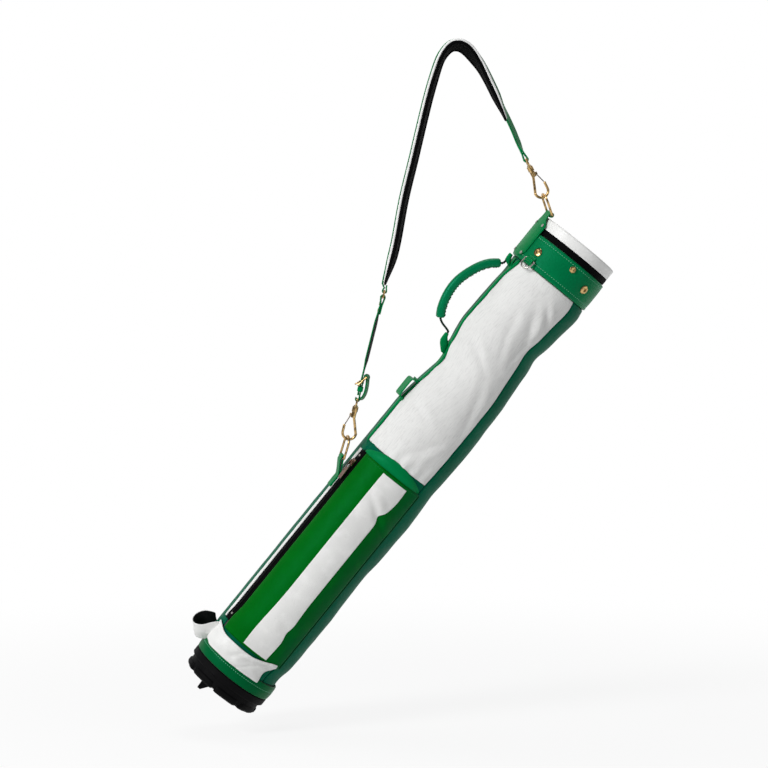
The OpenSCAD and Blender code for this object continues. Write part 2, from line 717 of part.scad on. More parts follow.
// How far a screw's head is sunk from the lugs' feet, and its thickness
screw_low = 3.2;
head_t = 2.5;
disc_t = 3;
module base_disc() {
  // the stiff disc inside the tube that the boot is screwed to
  color("tan") hang() difference() {
    translate([0, 0, flange_low + 0.2]) cylinder(r = boot_r - 8.5, h = disc_t + flange_h, $fn = 96);
    translate([0, 0, flange_low + disc_t + 4]) cylinder(r = boot_r - 12, h = flange_h + 2, $fn = 96);
    for (a = screw_angles) rotate([0, 0, a]) translate([screw_at, 0, 0])
      cylinder(r = screw_r + 0.2, h = flange_low + disc_t + 30, $fn = 32);
  }
}
module base_screws() {
  color("silver") hang() for (a = screw_angles) rotate([0, 0, a]) translate([screw_at, 0, 0]) {
    translate([0, 0, boot_low + screw_low]) {
      cylinder(r = screw_head_r, h = head_t, $fn = 32);
      cylinder(r = screw_r, h = boot_h + disc_t + 1, $fn = 32);
    }
  }
}
// The grab strap lies round the front above the foot band, its upper edge standing off,
// and makes a loop at its left end
grab_low = foot_top + 1;
grab_a0 = -92;
grab_a1 = 42;
loop_a = -82;
loop_lean = 35;
loop_mid = loop_r + tube_r + 5.5;
module grab_strap() {
  function grab_r(k) = tube_r + 4.1 + 1.6 * k * k;
  rows = angles(grab_a0, grab_a1, 14);
  color("gainsboro") hang() {
    skin(
      [for (a = rows) [for (k = [0, 0.5, 1]) around(grab_r(k), a, grab_low + grab_w * k)]],
      [for (a = rows) [for (k = [0, 0.5, 1]) around(grab_r(k) + 1.6, a, grab_low + grab_w * k)]]
    );
    at_angle(loop_a) translate([loop_mid, 0, grab_low + grab_w / 2]) rotate([-loop_lean, 0, 0])
      difference() {
      cylinder(r = loop_r, h = loop_w, center = true);
      cylinder(r = loop_r - 1.8, h = loop_w + 1, center = true);
    }
  }
}

// ---------- hooks ----------
base_low = 31;
base_top = hook_len - 20;
barrel_low = base_top + swivel_clear;
barrel_top = barrel_low + barrel_h;
barrel_r = neck_r + 2.6;
base_r = 3.8;
head_r = neck_r + 1.3;
bend_mid = bend_r + hook_wire;
bend_lift = bend_r - link_gap / 2;
eye_half = strap_w / 2 + frame_wire + 0.7;
eye_leg = 52.5;
gate_r = 0.8;
gate_x = 4;
gate_h = base_low + 4;
gate_hole = gate_r + 0.2;
gate_slot = 2.4;
tip_top = bend_lift + 9;
joint_bead = 0.15;
module hook() {
  difference() {
    union() {
      translate([0, 0, base_low]) cylinder(r = base_r, h = base_top - base_low);
      translate([0, -2.6, gate_h - 2.2]) cube([gate_x + 2.2, 5.2, 4.4]);
    }
    translate([gate_x, 0, gate_h]) rotate([90, 0, 0]) cylinder(r = gate_hole, h = 20, center = true,
      $fn = 32);
    translate([gate_x - 4.5, -gate_slot / 2, base_low - 1]) cube([9, gate_slot, gate_h - base_low + 3]);
  }
  translate([0, 0, base_top - eps]) cylinder(r = neck_r, h = barrel_h + 2 * swivel_clear + 0.6);
  translate([0, 0, barrel_top + swivel_clear]) cylinder(r = head_r, h = 1.6);
  wire([-1.2, 0, base_low + 1.5], [-bend_mid, 0, bend_lift], hook_wire);
  translate([-bend_mid, 0, bend_lift]) sphere(hook_wire + joint_bead, $fn = 32);
  translate([0, 0, bend_lift]) rotate([90, 0, 0]) rotate([0, 0, 180]) rotate_extrude(angle = 180)
    translate([bend_mid, 0]) circle(hook_wire, $fn = 32);
  wire([bend_mid, 0, bend_lift], [bend_mid, 0, tip_top], hook_wire);
  translate([bend_mid, 0, tip_top]) sphere(hook_wire + joint_bead, $fn = 32);
}
module gate() {
  rotate_pin = [gate_x, 0, gate_h];
  translate(rotate_pin) rotate([90, 0, 0]) cylinder(r = gate_r, h = 5.2, center = true, $fn = 32);
  wire(rotate_pin, [bend_mid - 0.9, 0, tip_top + hook_wire + 1.1], gate_r);
  translate([bend_mid - 0.9, 0, tip_top + hook_wire + 1.1]) sphere(gate_r * 1.1, $fn = 32);
}
module swivel() {
  difference() {
    translate([0, 0, barrel_low]) cylinder(r = barrel_r, h = barrel_h);
    translate([0, 0, barrel_low - 1]) cylinder(r = neck_r + swivel_clear, h = barrel_h + 2);
  }
  wire([0, -eye_half, hook_len], [0, eye_half, hook_len], frame_wire);
  for (s = [-1, 1]) {
    translate([0, s * eye_half, hook_len]) sphere(frame_wire, $fn = 32);
    wire([0, s * eye_half, hook_len], [0, s * eye_half, eye_leg], frame_wire);
    translate([0, s * eye_half, eye_leg]) sphere(frame_wire, $fn = 32);
    wire([0, s * eye_half, eye_leg], [0, s * (barrel_r - 0.8), barrel_top - 1.8], frame_wire);
  }
}
module upper_swivel() color("gold") upper_line() swivel();
module upper_hook() color("gold") upper_line() hook();
module upper_gate() color("silver") upper_line() gate();
module lower_swivel() color("gold") lower_line() swivel();
module lower_hook() color("gold") lower_line() mirror([1, 0, 0]) hook();
module lower_gate() color("silver") lower_line() mirror([1, 0, 0]) gate();

// ---------- shoulder strap ----------
function on_line(foot, slant, up, out) =
  [foot[0] + up * sin(slant) + out * cos(slant), foot[1] + up * cos(slant) - out * sin(slant)];
upper_foot = [hook_x, -hook_drop];
lower_foot = [lower_x, lower_z];
// Middle of the pad, from its right end over the crown to its left end, as [x, z]
pad_crown = [
  [73.5, -103.5], [66, -86], [53, -57.5], [38, -28], [27, -11.5], [17, 0.5], [8, 6.8], [0, 8.4], [-8, 6.8],
  [-16, 0], [-25, -14], [-34.5, -42]
];
// The long leg runs from the crown to the link ring. Its shape is [share of the way, bow to the left]
leg_start = [-43, -72];
leg_end = on_line(lower_foot, lower_slant, link_at + 15, -2.6);
leg_shape = [[0, 0], [0.163, 0.4], [0.326, 0.3], [0.544, 0.65], [0.759, -2.4], [0.879, -2.2], [1, 0]];
leg_left = let (v = unit(leg_end - leg_start)) [v[1], -v[0]];
pad_path = concat(pad_crown,
  [for (p = leg_shape) leg_start + p[0] * (leg_end - leg_start) + p[1] * leg_left]);
pad_last = len(pad_path) - 1;
pad_widths = [for (i = [0:pad_last]) i == 0 || i == pad_last ? 0.55 : i == 1 || i == pad_last - 1 ? 0.9
  : 1];
pad_half = pad_w / 2;
module pad_liner() {
  color("black") sweep(sections_on(pad_path, [
    [-layer_gap / 2, -pad_half], [-layer_gap / 2, pad_half], [-liner_t * 0.75, pad_half - 1.5],
    [-liner_t, pad_half * 0.5], [-liner_t, -pad_half * 0.5], [-liner_t * 0.75, -pad_half + 1.5]
  ], pad_widths));
}
module pad_cover() {
  color("white") sweep(sections_on(pad_path, [
    [layer_gap / 2, pad_half], [layer_gap / 2, -pad_half], [cover_t * 0.75, -pad_half + 1.5],
    [cover_t, -pad_half * 0.5], [cover_t, pad_half * 0.5], [cover_t * 0.75, pad_half - 1.5]
  ], pad_widths));
}
wrap_r = frame_wire + bar_clear + strap_t;
link_half = 5;
strap_lift = cover_t + layer_gap + strap_t / 2;
long_path = concat(
  [on_line(upper_foot, upper_slant, hook_len + wrap_r - 1, 0), on_line(upper_foot, upper_slant,
    hook_len + 22, 0.5)],
  [on_line(upper_foot, upper_slant, hook_len + 46, 3)],
  [for (p = offset_path(pad_path, strap_lift)) p],
  [on_line(lower_foot, lower_slant, link_at + link_half + wrap_r - 1, 0)]
);
strap_half = strap_w / 2;
module bar_loop(at) {
  translate(at) rotate([90, 0, 0]) difference() {
    cylinder(r = wrap_r, h = strap_w - 0.4, center = true);
    cylinder(r = frame_wire + bar_clear, h = strap_w + 2, center = true);
  }
}
module long_strap() {
  half_t = strap_t / 2;
  color("seagreen") {
    sweep(sections_on(long_path, [[-half_t, strap_half], [-half_t, -strap_half], [half_t, -strap_half],
      [half_t, strap_half]]));
    upper_line() bar_loop([0, 0, hook_len]);
    lower_line() bar_loop([0, 0, link_at + link_half]);
  }
}
module frame_loop(a, b) {
  // two bars along Y at [x, z] = a and b, joined at their ends
  for (s = [-1, 1]) {
    for (p = [a, b]) translate([p[0], s * eye_half, p[1]]) sphere(frame_wire, $fn = 32);
    wire([a[0], s * eye_half, a[1]], [b[0], s * eye_half, b[1]], frame_wire);
  }
  for (p = [a, b]) wire([p[0], -eye_half, p[1]], [p[0], eye_half, p[1]], frame_wire);
}
link_low = link_at - link_half;
module link_ring() color("gold") lower_line() frame_loop([0, link_low], [0, link_at + link_half]);
// The strap with the holes runs outside the short strap that holds the buckle
hole_x = -strap_t;
heel = [wrap_r + 0.6, buckle_at];
far_bar = [-strap_t - frame_wire - 0.6, buckle_at - 14];
prong_r = 1.1;
tip_low = hook_len + 6;
strap_hole_r = 1.6;
strap_hole_pitch = 22;
rivet_rows = [link_low - 10, link_low - 20];
module hole_strap() {
  color("seagreen") lower_line() {
    difference() {
      translate([hole_x, -strap_half, tip_low]) cube([strap_t, strap_w, link_low - wrap_r + 1 - tip_low]);
      hull() for (z = [buckle_at - 11, buckle_at + 3])
        translate([0, 0, z]) rotate([0, 90, 0]) cylinder(r = prong_r + 0.5, h = 20, center = true,
          $fn = 24);
      for (k = [1:3]) translate([0, 0, buckle_at + 6 + strap_hole_pitch * k]) rotate([0, 90, 0])
        cylinder(r = strap_hole_r, h = 20, center = true, $fn = 24);
      for (z = rivet_rows) translate([0, 0, z]) rotate([0, 90, 0]) cylinder(r = rivet_r + 0.1, h = 20,
        center = true, $fn = 24);
    }
    bar_loop([0, 0, link_low]);
  }
}
module buckle_strap() {
  color("seagreen") lower_line() difference() {
    union() {
      translate([0.4, -strap_half, hook_len + 2.5]) cube([strap_t, strap_w, buckle_at - hook_len - 4]);
      bar_loop([heel[0], 0, heel[1]]);
      bar_loop([0, 0, hook_len]);
    }
    translate([-5, -prong_r - 0.7, buckle_at - wrap_r - 3]) cube([20, 2 * prong_r + 1.4, 2 * wrap_r + 6]);
    translate([heel[0], 0, heel[1]]) rotate([90, 0, 0]) cylinder(r = frame_wire + bar_clear,
      h = strap_w + 2, center = true);
    translate([0, 0, hook_len]) rotate([90, 0, 0]) cylinder(r = frame_wire + bar_clear, h = strap_w + 2,
      center = true);
  }
}
module buckle_frame() color("gold") lower_line() frame_loop(heel, far_bar);
prong_tip = far_bar + [-4.8, -0.7];
module buckle_prong() {
  color("gold") lower_line() difference() {
    union() {
      translate([heel[0], 0, heel[1]]) rotate([90, 0, 0]) cylinder(r = frame_wire + 1.5,
        h = 2 * prong_r + 0.4, center = true);
      wire([heel[0] - 1, 0, heel[1] - 1], [prong_tip[0], 0, prong_tip[1]], prong_r);
    }
    translate([heel[0], 0, heel[1]]) rotate([90, 0, 0]) cylinder(r = frame_wire + 0.2, h = 20,
      center = true);
  }
}
keeper_t = 1.4;
keeper_h = 7;
module strap_keepers() {
  x0 = -strap_t - 0.3;
  x1 = 0.4 + strap_t + 0.3;
  y0 = strap_half + 0.3;
  color("seagreen") lower_line() translate([0, 0, tip_low + 6]) difference() {
    translate([x0 - keeper_t, -y0 - keeper_t, 0])
      cube([x1 - x0 + 2 * keeper_t, 2 * (y0 + keeper_t), keeper_h]);
    translate([x0, -y0, -1]) cube([x1 - x0, 2 * y0, keeper_h + 2]);
  }
}
module strap_rivets() {
  color("gold") lower_line() for (z = rivet_rows) translate([0, 0, z]) rotate([0, -90, 0]) {
    translate([0, 0, -1]) cylinder(r = rivet_r, h = strap_t + 1.6, $fn = 24);
    translate([0, 0, strap_t + 0.1]) cylinder(r = rivet_cap, h = 0.9, $fn = 32);
    translate([0, 0, -1]) cylinder(r = rivet_cap, h = 0.9, $fn = 32);
  }
}

body_tube();
lining();
front_panel();
back_panel();
spine_piping();
spine_strip();
spine_rivets();
mouth_cuff();
black_band();
collar();
large_snaps();
small_snaps();
accessory_tab();
accessory_ring();
lower_ring_tab();
upper_ring();
lower_ring();
handle_core();
handle_grip();
handle_anchors();
towel_loop();
pocket_welt();
pocket_front();
pocket_stripe();
pocket_gusset();
zipper_tape();
zipper_chain();
zipper_stops();
zip_slider();
zip_pull();
grab_strap();
foot_band();
base_flange();
base_boot();
base_fin();
base_disc();
base_screws();
upper_swivel();
upper_hook();
upper_gate();
lower_swivel();
lower_hook();
lower_gate();
pad_liner();
pad_cover();
long_strap();
link_ring();
hole_strap();
buckle_strap();
buckle_frame();
buckle_prong();
strap_keepers();
strap_rivets();
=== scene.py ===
from math import atan2, cos, degrees, exp, hypot, pi, radians, sin, sqrt
import bpy
from mathutils import Matrix, Vector, noise


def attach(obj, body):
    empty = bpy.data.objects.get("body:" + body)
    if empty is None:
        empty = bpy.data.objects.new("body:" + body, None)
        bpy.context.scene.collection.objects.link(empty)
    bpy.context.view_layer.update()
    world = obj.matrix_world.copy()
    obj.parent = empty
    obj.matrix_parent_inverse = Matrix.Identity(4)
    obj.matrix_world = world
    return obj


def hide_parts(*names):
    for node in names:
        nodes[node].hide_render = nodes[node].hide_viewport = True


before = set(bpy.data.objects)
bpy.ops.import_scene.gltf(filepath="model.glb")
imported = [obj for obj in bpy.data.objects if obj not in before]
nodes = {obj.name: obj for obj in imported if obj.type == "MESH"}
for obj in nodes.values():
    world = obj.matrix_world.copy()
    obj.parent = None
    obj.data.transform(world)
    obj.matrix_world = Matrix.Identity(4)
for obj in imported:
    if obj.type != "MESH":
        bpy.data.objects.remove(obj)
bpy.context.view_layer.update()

MM = 0.001
scene = bpy.context.scene


# ---------- places, in millimetres, as in the part's source ----------
BAG_AT = (-355.893, 30.441, -958.702)
BAG_TILT = 38.9
BAG = Matrix.Translation(BAG_AT) @ Matrix.Rotation(radians(BAG_TILT), 4, "Y")
TUBE_R, SPINE_A, COLLAR_R, BODY_TOP = 64.0, -71.0, 69.3, 787.0
UPPER_AT, UPPER_SLANT = (129.8, 0.0, -216.0), -26.6
LOWER_AT, LOWER_SLANT = (-162.833, 0.0, -578.659), 14.0
UPPER = Matrix.Translation(UPPER_AT) @ Matrix.Rotation(radians(UPPER_SLANT), 4, "Y")
LOWER = Matrix.Translation(LOWER_AT) @ Matrix.Rotation(radians(LOWER_SLANT), 4, "Y")
LEFT = [(26, 64), (86, 66), (514, 65.5), (552, 60), (596, 52), (634, 61), (664, 66), (739, 63.5),
        (764, 61.5), (787, 64)]
RIGHT = [(26, 64), (62, 59), (86, 65), (184, 66), (269, 63), (289, 66), (364, 68), (427, 65), (454, 67),
         (514, 68.5),
         (596, 66), (664, 60), (684, 56), (709, 61.5), (739, 64.5), (764, 68), (779, 68), (787, 64)]


def lookup(table, h):
    if h <= table[0][0]:
        return table[0][1]
    for (h0, r0), (h1, r1) in zip(table, table[1:]):
        if h <= h1:
            return r0 + (r1 - r0) * (h - h0) / (h1 - h0)
    return table[-1][1]


def smooth_lookup(table, h):
    return sum(lookup(table, h + d) for d in (-9, -6, -3, 0, 3, 6, 9)) / 7


def around(r, a, h):
    a = radians(a)
    return Vector((r * sin(a), -r * cos(a), h))


def body_point(a, h, off):
    """A point on the soft body at azimuth a and height h, lifted by off."""
    left, right = smooth_lookup(LEFT, h), smooth_lookup(RIGHT, h)
    a = radians(a)
    return Vector(((right - left) / 2 + ((right + left) / 2 + off) * sin(a), -(TUBE_R + off) * cos(a), h))


def body_r(a, h):
    p = body_point(a, h, 0)
    return hypot(p.x, p.y)


def at_angle(a, at=(0, 0, 0)):
    """X points out from the bag's axis, Y along the surface, Z up the bag."""
    return BAG @ Matrix.Rotation(radians(a - 90), 4, "Z") @ Matrix.Translation(at)


def smooth(x, low, high):
    t = min(max((x - low) / (high - low), 0.0), 1.0)
    return t * t * (3 - 2 * t)


def bell(x, width):
    return exp(-(x / width) ** 2)


def circle(n):
    """n angles round a full turn."""
    return [2 * pi * k / n for k in range(n)]


def steps(low, high, n):
    return [low + (high - low) * i / n for i in range(n + 1)]


def runs(points):
    """The distance run along a polyline at each of its points."""
    found = [0.0]
    for a, b in zip(points, points[1:]):
        found.append(found[-1] + (b - a).length)
    return found


def tangents_of(points):
    last = len(points) - 1
    return [(points[min(i + 1, last)] - points[max(i - 1, 0)]).normalized() for i in range(last + 1)]


def facing(surface, places, lift=5):
    """Which way a surface faces at each of its places."""
    return [(surface(u, v, lift) - surface(u, v, 0)).normalized() for u, v in places]


def placed(name, data):
    thing = bpy.data.objects.new(name, data)
    scene.collection.objects.link(thing)
    return thing


def waves(p, scale, seed=0.0):
    return noise.noise(Vector((p[0] * scale + seed, p[1] * scale - seed, (p[2] if len(p) > 2 else 0) * scale
                               + 2 * seed)))


# ---------- material kit ----------
def plug(tree, value, socket):
    if isinstance(value, bpy.types.NodeSocket):
        tree.links.new(value, socket)
    else:
        socket.default_value = value


def add(tree, kind, props=None, args=(), **sockets):
    node = tree.nodes.new("ShaderNode" + kind)
    for key, value in (props or {}).items():
        setattr(node, key, value)
    for key, value in list(enumerate(args)) + [(k.replace("_", " "), v) for k, v in sockets.items()]:
        plug(tree, value, node.inputs[key])
    return node


def srgb(r, g, b):
    return tuple((c / 255 / 12.92 if c <= 10 else ((c / 255 + 0.055) / 1.055) ** 2.4)
                 for c in (r, g, b)) + (1.0,)


def shade(color, k):
    return tuple(min(1.0, c * k) for c in color[:3]) + (1.0,)


class Finish:
    """A Principled material built up from layers of colour, roughness and relief."""

    def __init__(self, name, color, rough, metal=0.0, specular=0.5):
        self.mat = bpy.data.materials.new(name)
        self.mat.use_nodes = True
        self.tree = self.mat.node_tree
        self.shader = self.tree.nodes["Principled BSDF"]
        coords = self.add("TexCoord").outputs
        self.place, self.uv = coords["Object"], coords["UV"]
        self.color, self.rough, self.normal = color, rough, None
        self.shader.inputs["Metallic"].default_value = metal
        self.shader.inputs["Specular IOR Level"].default_value = specular

    def add(self, kind, props=None, args=(), **sockets):
        return add(self.tree, kind, props, args, **sockets)

    def math(self, operation, *args):
        return self.add("Math", {"operation": operation}, args).outputs[0]

    def noise(self, scale, detail=2.0, rough=0.5, vector=None, distort=0.0):
        return self.add("TexNoise", Vector=vector or self.place, Scale=scale, Detail=detail, Roughness=rough,
                        Distortion=distort).outputs[0]

    def cells(self, scale, feature="F1", vector=None):
        return self.add("TexVoronoi", {"feature": feature}, (), Vector=vector or self.place,
                        Scale=scale).outputs["Distance"]

    def span(self, value, a, b, c=0.0, d=1.0):
        return self.add("MapRange", Value=value, From_Min=a, From_Max=b, To_Min=c, To_Max=d).outputs[0]

    def tint(self, other, fac):
        """Mixes another colour over the colour so far."""
        mix = self.add("Mix", {"data_type": "RGBA"})
        for key, value in ((0, fac), (6, self.color), (7, other)):
            plug(self.tree, value, mix.inputs[key])
        self.color = mix.outputs[2]

    def mottle(self, tone, value, low, high, most):
        """Tints with a colour, as strongly as most, where the value runs from low to high."""
        self.tint(tone, self.span(value, low, high, 0, most))

    def vary(self, value, low, high):
        """Roughness runs from low to high as the value runs from 0 to 1."""
        self.rough = self.span(value, 0, 1, low, high)

    def relief(self, height, depth, strength=1.0):
        """Bumps by a height from 0 to 1, depth in metres."""
        sockets = {"Height": height, "Distance": depth, "Strength": strength}
        if self.normal is not None:
            sockets["Normal"] = self.normal
        self.normal = self.add("Bump", **sockets).outputs[0]

    def done(self):
        for key, value in (("Base Color", self.color), ("Roughness", self.rough), ("Normal", self.normal)):
            if value is not None:
                plug(self.tree, value, self.shader.inputs[key])
        self.mat.diffuse_color = self.color if isinstance(self.color, tuple) else (0.5, 0.5, 0.5, 1)
        return self.mat


def leather(name, color, rough=0.42, grain=1100, depth=0.00014, wear=None, specular=0.15, fold=0.0005,
            gloss=(0.1, 0.95, 0.66, 1), painted_side_shade=None):
    f = Finish(name, color, rough, specular=specular)
    f.shader.inputs["Specular Tint"].default_value = gloss
    # painted shade: across the piece's U from 12 to 50 mm the colour turns to a darker tone, for a side
    # turned from the light
    if painted_side_shade:
        across = f.add("SeparateXYZ", Vector=f.uv).outputs[0]
        f.mottle(painted_side_shade, across, 0.012, 0.05, 0.85)
    broad = f.noise(9, 3)
    f.mottle(shade(color, 0.72), broad, 0.42, 0.72, 0.55)
    f.mottle(shade(color, 1.25), f.noise(45, 4), 0.5, 0.75, 0.35)
    pores = f.cells(grain)
    f.mottle(shade(color, 0.6), pores, 0.75, 1.0, 0.35)
    edge = f.add("NewGeometry").outputs["Pointiness"]
    f.mottle(wear or shade(color, 1.9), edge, 0.53, 0.62, 0.5)
    f.vary(f.noise(70, 3), rough - 0.1, rough + 0.12)
    f.relief(f.noise(28, 3), fold, 0.7)
    f.relief(f.math("ADD", pores, f.noise(grain * 0.45, 2)), depth, 0.8)
    return f.done()


def weave(f, pitch, twill=True):
    """A woven height from 0 to 1 with threads along U and V, pitch in metres."""
    split = f.add("SeparateXYZ", Vector=f.uv)
    u = f.math("MULTIPLY", split.outputs[0], 2 * pi / pitch)
    v = f.math("MULTIPLY", split.outputs[1], 2 * pi / pitch)
    if twill:
        u, v = f.math("ADD", u, v), f.math("SUBTRACT", f.math("MULTIPLY", v, 2.0), u)
    a, b = f.math("SINE", u), f.math("SINE", v)
    return f.span(f.math("MULTIPLY", a, b), -1, 1)


def cloth(name, color, pitch, rough=0.75, depth=0.0002, gap_shade=0.8, twill=True, hairs=0.0, specular=0.2):
    f = Finish(name, color, rough, specular=specular)
    thread = weave(f, pitch, twill)
    # painted shade: the colour darkens in the low places between the threads
    f.tint(shade(color, gap_shade), f.span(thread, 0.2, 0.7, 0.75, 0))
    f.mottle(shade(color, 0.88), f.noise(16, 4), 0.45, 0.75, 0.5)
    f.mottle(shade(color, 0.85), f.noise(1500, 2), 0.45, 0.8, 0.5)
    if hairs:
        # long fine threads that lie at a slant across the cloth
        slant = f.add("Mapping", Vector=f.uv, Rotation=(0, 0, radians(-39)), Scale=(900, 75, 1)).outputs[0]
        lines = f.noise(1.0, 3, 0.6, vector=slant, distort=0.6)
        f.mottle(shade(color, 0.72), lines, 0.5, 0.68, hairs)
        f.relief(lines, 0.0005, 0.6)
    f.vary(thread, rough + 0.1, rough - 0.08)
    f.relief(f.noise(40, 3), 0.0006, 0.5)
    f.relief(thread, depth, 0.8)
    return f.done()


def metal(name, color, rough=0.24, painted_dark_reflection=0.62, spread=0.5):
    f = Finish(name, color, rough, metal=1.0)
    # painted reflection: dark noisy patches stand for the dark surroundings that the metal mirrors
    f.mottle(shade(color, painted_dark_reflection), f.noise(190, 3), 0.47, 0.6, spread)
    f.vary(f.noise(240, 3), rough - 0.08, rough + 0.14)
    stretched = f.add("Mapping", Vector=f.place, Scale=(300, 2400, 2400)).outputs[0]
    f.relief(f.noise(1.0, 2, vector=stretched), 0.00004, 0.5)
    return f.done()


def plastic(name, color, rough=0.4, depth=0.00008, dust=None, specular=0.25):
    f = Finish(name, color, rough, specular=specular)
    f.mottle(dust or shade(color, 1.5), f.noise(30, 4), 0.5, 0.8, 0.4)
    edge = f.add("NewGeometry").outputs["Pointiness"]
    f.mottle(shade(color, 2.2), edge, 0.52, 0.6, 0.3)
    f.vary(f.noise(90, 3), rough - 0.08, rough + 0.14)
    f.relief(f.noise(2200, 2), depth, 0.7)
    f.relief(f.noise(60, 2), 0.0002, 0.4)
    return f.done()


GREEN = srgb(0, 120, 62)
LEATHER = leather("green_leather", GREEN)
COLLAR = leather("collar_leather", srgb(0, 116, 66), 0.42, grain=560, depth=0.0004, specular=0.16)
GRIP = leather("grip_leather", srgb(0, 112, 66), 0.34, specular=0.34)
# the foot band's leather: the green darkened to 0.6 as painted shade
FOOT = leather("foot_leather_painted_shade", shade(GREEN, 0.6), specular=0.08)
# near-black green, for painted shadow in the pocket's right seam
SEAM_SHADOW_LEATHER = leather("seam_shadow_leather", shade(GREEN, 0.3), 0.6)
# the side and back leather: a darker, more teal copy of the green, painted shade for the side turned from the
# light
SIDE = leather("side_leather_painted_shade", srgb(0, 90, 64), 0.5, specular=0.07)
# the pocket's green, with painted shade darkening its right side
POCKET = leather("pocket_leather", srgb(0, 96, 14), 0.4, specular=0.11, gloss=(0.04, 0.8, 0.4, 1),
                 painted_side_shade=srgb(0, 80, 44))
WHITE_PU = leather("white_leather", srgb(232, 232, 230), 0.4, wear=srgb(245, 245, 245), gloss=(1, 1, 1, 1))
# the cloths, each darker between its threads as painted shade
NYLON = cloth("white_nylon", srgb(237, 237, 235), 0.0036, 0.7, depth=0.0003, gap_shade=0.9, hairs=0.55)
MESH = cloth("black_mesh", srgb(8, 8, 9), 0.0024, 0.85, depth=0.0006, gap_shade=0.3, twill=False, specular=0.04)
WEBBING = cloth("black_webbing", srgb(8, 8, 9), 0.0018, 0.75, depth=0.0003, gap_shade=0.4, twill=False,
                specular=0.04)
TAPE = cloth("black_tape", srgb(7, 7, 8), 0.0012, 0.7, depth=0.0002, gap_shade=0.5, specular=0.04)
LINING = cloth("black_lining", srgb(26, 27, 28), 0.0014, 0.8, gap_shade=0.6)
RUBBER = plastic("black_rubber", srgb(6, 6, 7), 0.6, 0.0002, specular=0.07)
CORD = plastic("dark_cord", srgb(6, 34, 24), 0.65, 0.0002)
COIL = plastic("black_coil", srgb(10, 10, 11), 0.4, specular=0.1)
CUFF = plastic("white_plastic", srgb(236, 236, 234), 0.35, 0.00005, srgb(225, 225, 222))
STIFF = plastic("grey_board", srgb(70, 70, 68), 0.8)
THREAD = plastic("green_thread", shade(GREEN, 0.75), 0.6, 0.0001)
THREAD_DARK = plastic("dark_green_thread", srgb(0, 52, 34), 0.6, 0.0001)
THREAD_LIGHT = plastic("light_green_thread", srgb(104, 178, 144), 0.6, 0.0001)
THREAD_WHITE = plastic("white_thread", srgb(235, 235, 232), 0.6, 0.0001)
# the metals, each darkened in noisy patches as painted reflection
GOLD = metal("gold_with_painted_reflections", srgb(206, 172, 116), 0.17, 0.25, 0.8)
STEEL = metal("dark_steel", srgb(112, 104, 94))
SILVER = metal("silver", srgb(196, 192, 186))
ROSE = metal("rose_silver", srgb(172, 142, 132), 0.2, 0.35, 0.7)


# ---------- mesh kit ----------
class Mesh:
    """Gathers several closed forms into one piece."""

    def __init__(self):
        self.verts, self.faces, self.uvs = [], [], []

    def grid(self, rows, uvs=None, wrap=False, turn=False):
        """Quads over rows of points; wrap joins the ends of each row."""
        first, cols = len(self.verts), len(rows[0])
        for i, row in enumerate(rows):
            self.verts.extend(row)
            self.uvs.extend(uvs[i] if uvs else [(i, j) for j in range(cols)])
        for i in range(len(rows) - 1):
            for j in range(cols if wrap else cols - 1):
                a, b = first + i * cols + j, first + i * cols + (j + 1) % cols
                quad = [a, b, b + cols, a + cols]
                self.faces.append(quad[::-1] if turn else quad)

    def tube(self, rings, uvs=None, caps=True):
        """A solid through closed rings of points."""
        first, n = len(self.verts), len(rings[0])
        self.grid(rings, uvs, wrap=True)
        if caps:
            last = first + (len(rings) - 1) * n
            self.faces.append([first + j for j in range(n)][::-1])
            self.faces.append([last + j for j in range(n)])

    def make(self, name, mat, body, node=(), slot=None):
        """The smooth piece, its points in millimetres; points that coincide are joined."""
        keep, new, at = {}, [], []
        for v in self.verts:
            key = tuple(round(c, 3) for c in v)
            if key not in keep:
                keep[key] = len(new)
                new.append(v)
            at.append(keep[key])
        clean, corner_uvs = [], []
        for face in self.faces:
            ring = []
            for i in face:
                if at[i] not in [at[k] for k in ring]:
                    ring.append(i)
            if len(ring) > 2:
                clean.append([at[i] for i in ring])
                corner_uvs.extend(self.uvs[i] for i in ring)
        mesh = bpy.data.meshes.new(name)
        mesh.from_pydata([tuple(c * MM for c in v) for v in new], [], clean)
        mesh.materials.append(mat)
        mesh.polygons.foreach_set("use_smooth", [True] * len(mesh.polygons))
        mesh.uv_layers.new(name="UVMap").data.foreach_set("uv", [c * MM for uv in corner_uvs for c in uv])
        mesh.validate()
        piece = placed(name, mesh)
        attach(piece, body)
        if node:
            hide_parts(*node)
        return piece


def samples(low, high, step, edge):
    rim = [0, 0.05, 0.2, 0.45, 0.75, 1.0]
    inner = max(2, round((high - low - 2 * edge) / step))
    return ([low + edge * k for k in rim]
            + [low + edge + (high - low - 2 * edge) * i / inner for i in range(1, inner)]
            + [high - edge * k for k in reversed(rim)])


def edge_lift(x, low, high, edge):
    k = min(1.0, max(0.0, min(x - low, high - x) / edge))
    return sqrt(max(0.0, 1 - (1 - k) ** 2))


def patch(mesh, surface, u, v, thick, base=0.0, relief=None, edge=1.2, step=4.0, ring=False):
    """A sheet of leather or cloth with rolled edges, over surface(u, v, off), closed underneath."""
    us = steps(*u, round((u[1] - u[0]) / step)) if ring else samples(*u, step, edge)
    vs = samples(*v, step, edge)
    outer, inner, uvs = [], [], []
    for a in us:
        side = 1.0 if ring else edge_lift(a, *u, edge)
        row_out, row_in = [], []
        for b in vs:
            lift = side * edge_lift(b, *v, edge)
            extra = relief(a, b) if relief else 0.0
            row_out.append(surface(a, b, base + (thick + extra) * lift))
            row_in.append(surface(a, b, base))
        outer.append(row_out)
        inner.append(row_in)
        uvs.append([(a, b) for b in vs])
    mesh.grid(outer, uvs)
    mesh.grid(inner, uvs, turn=True)


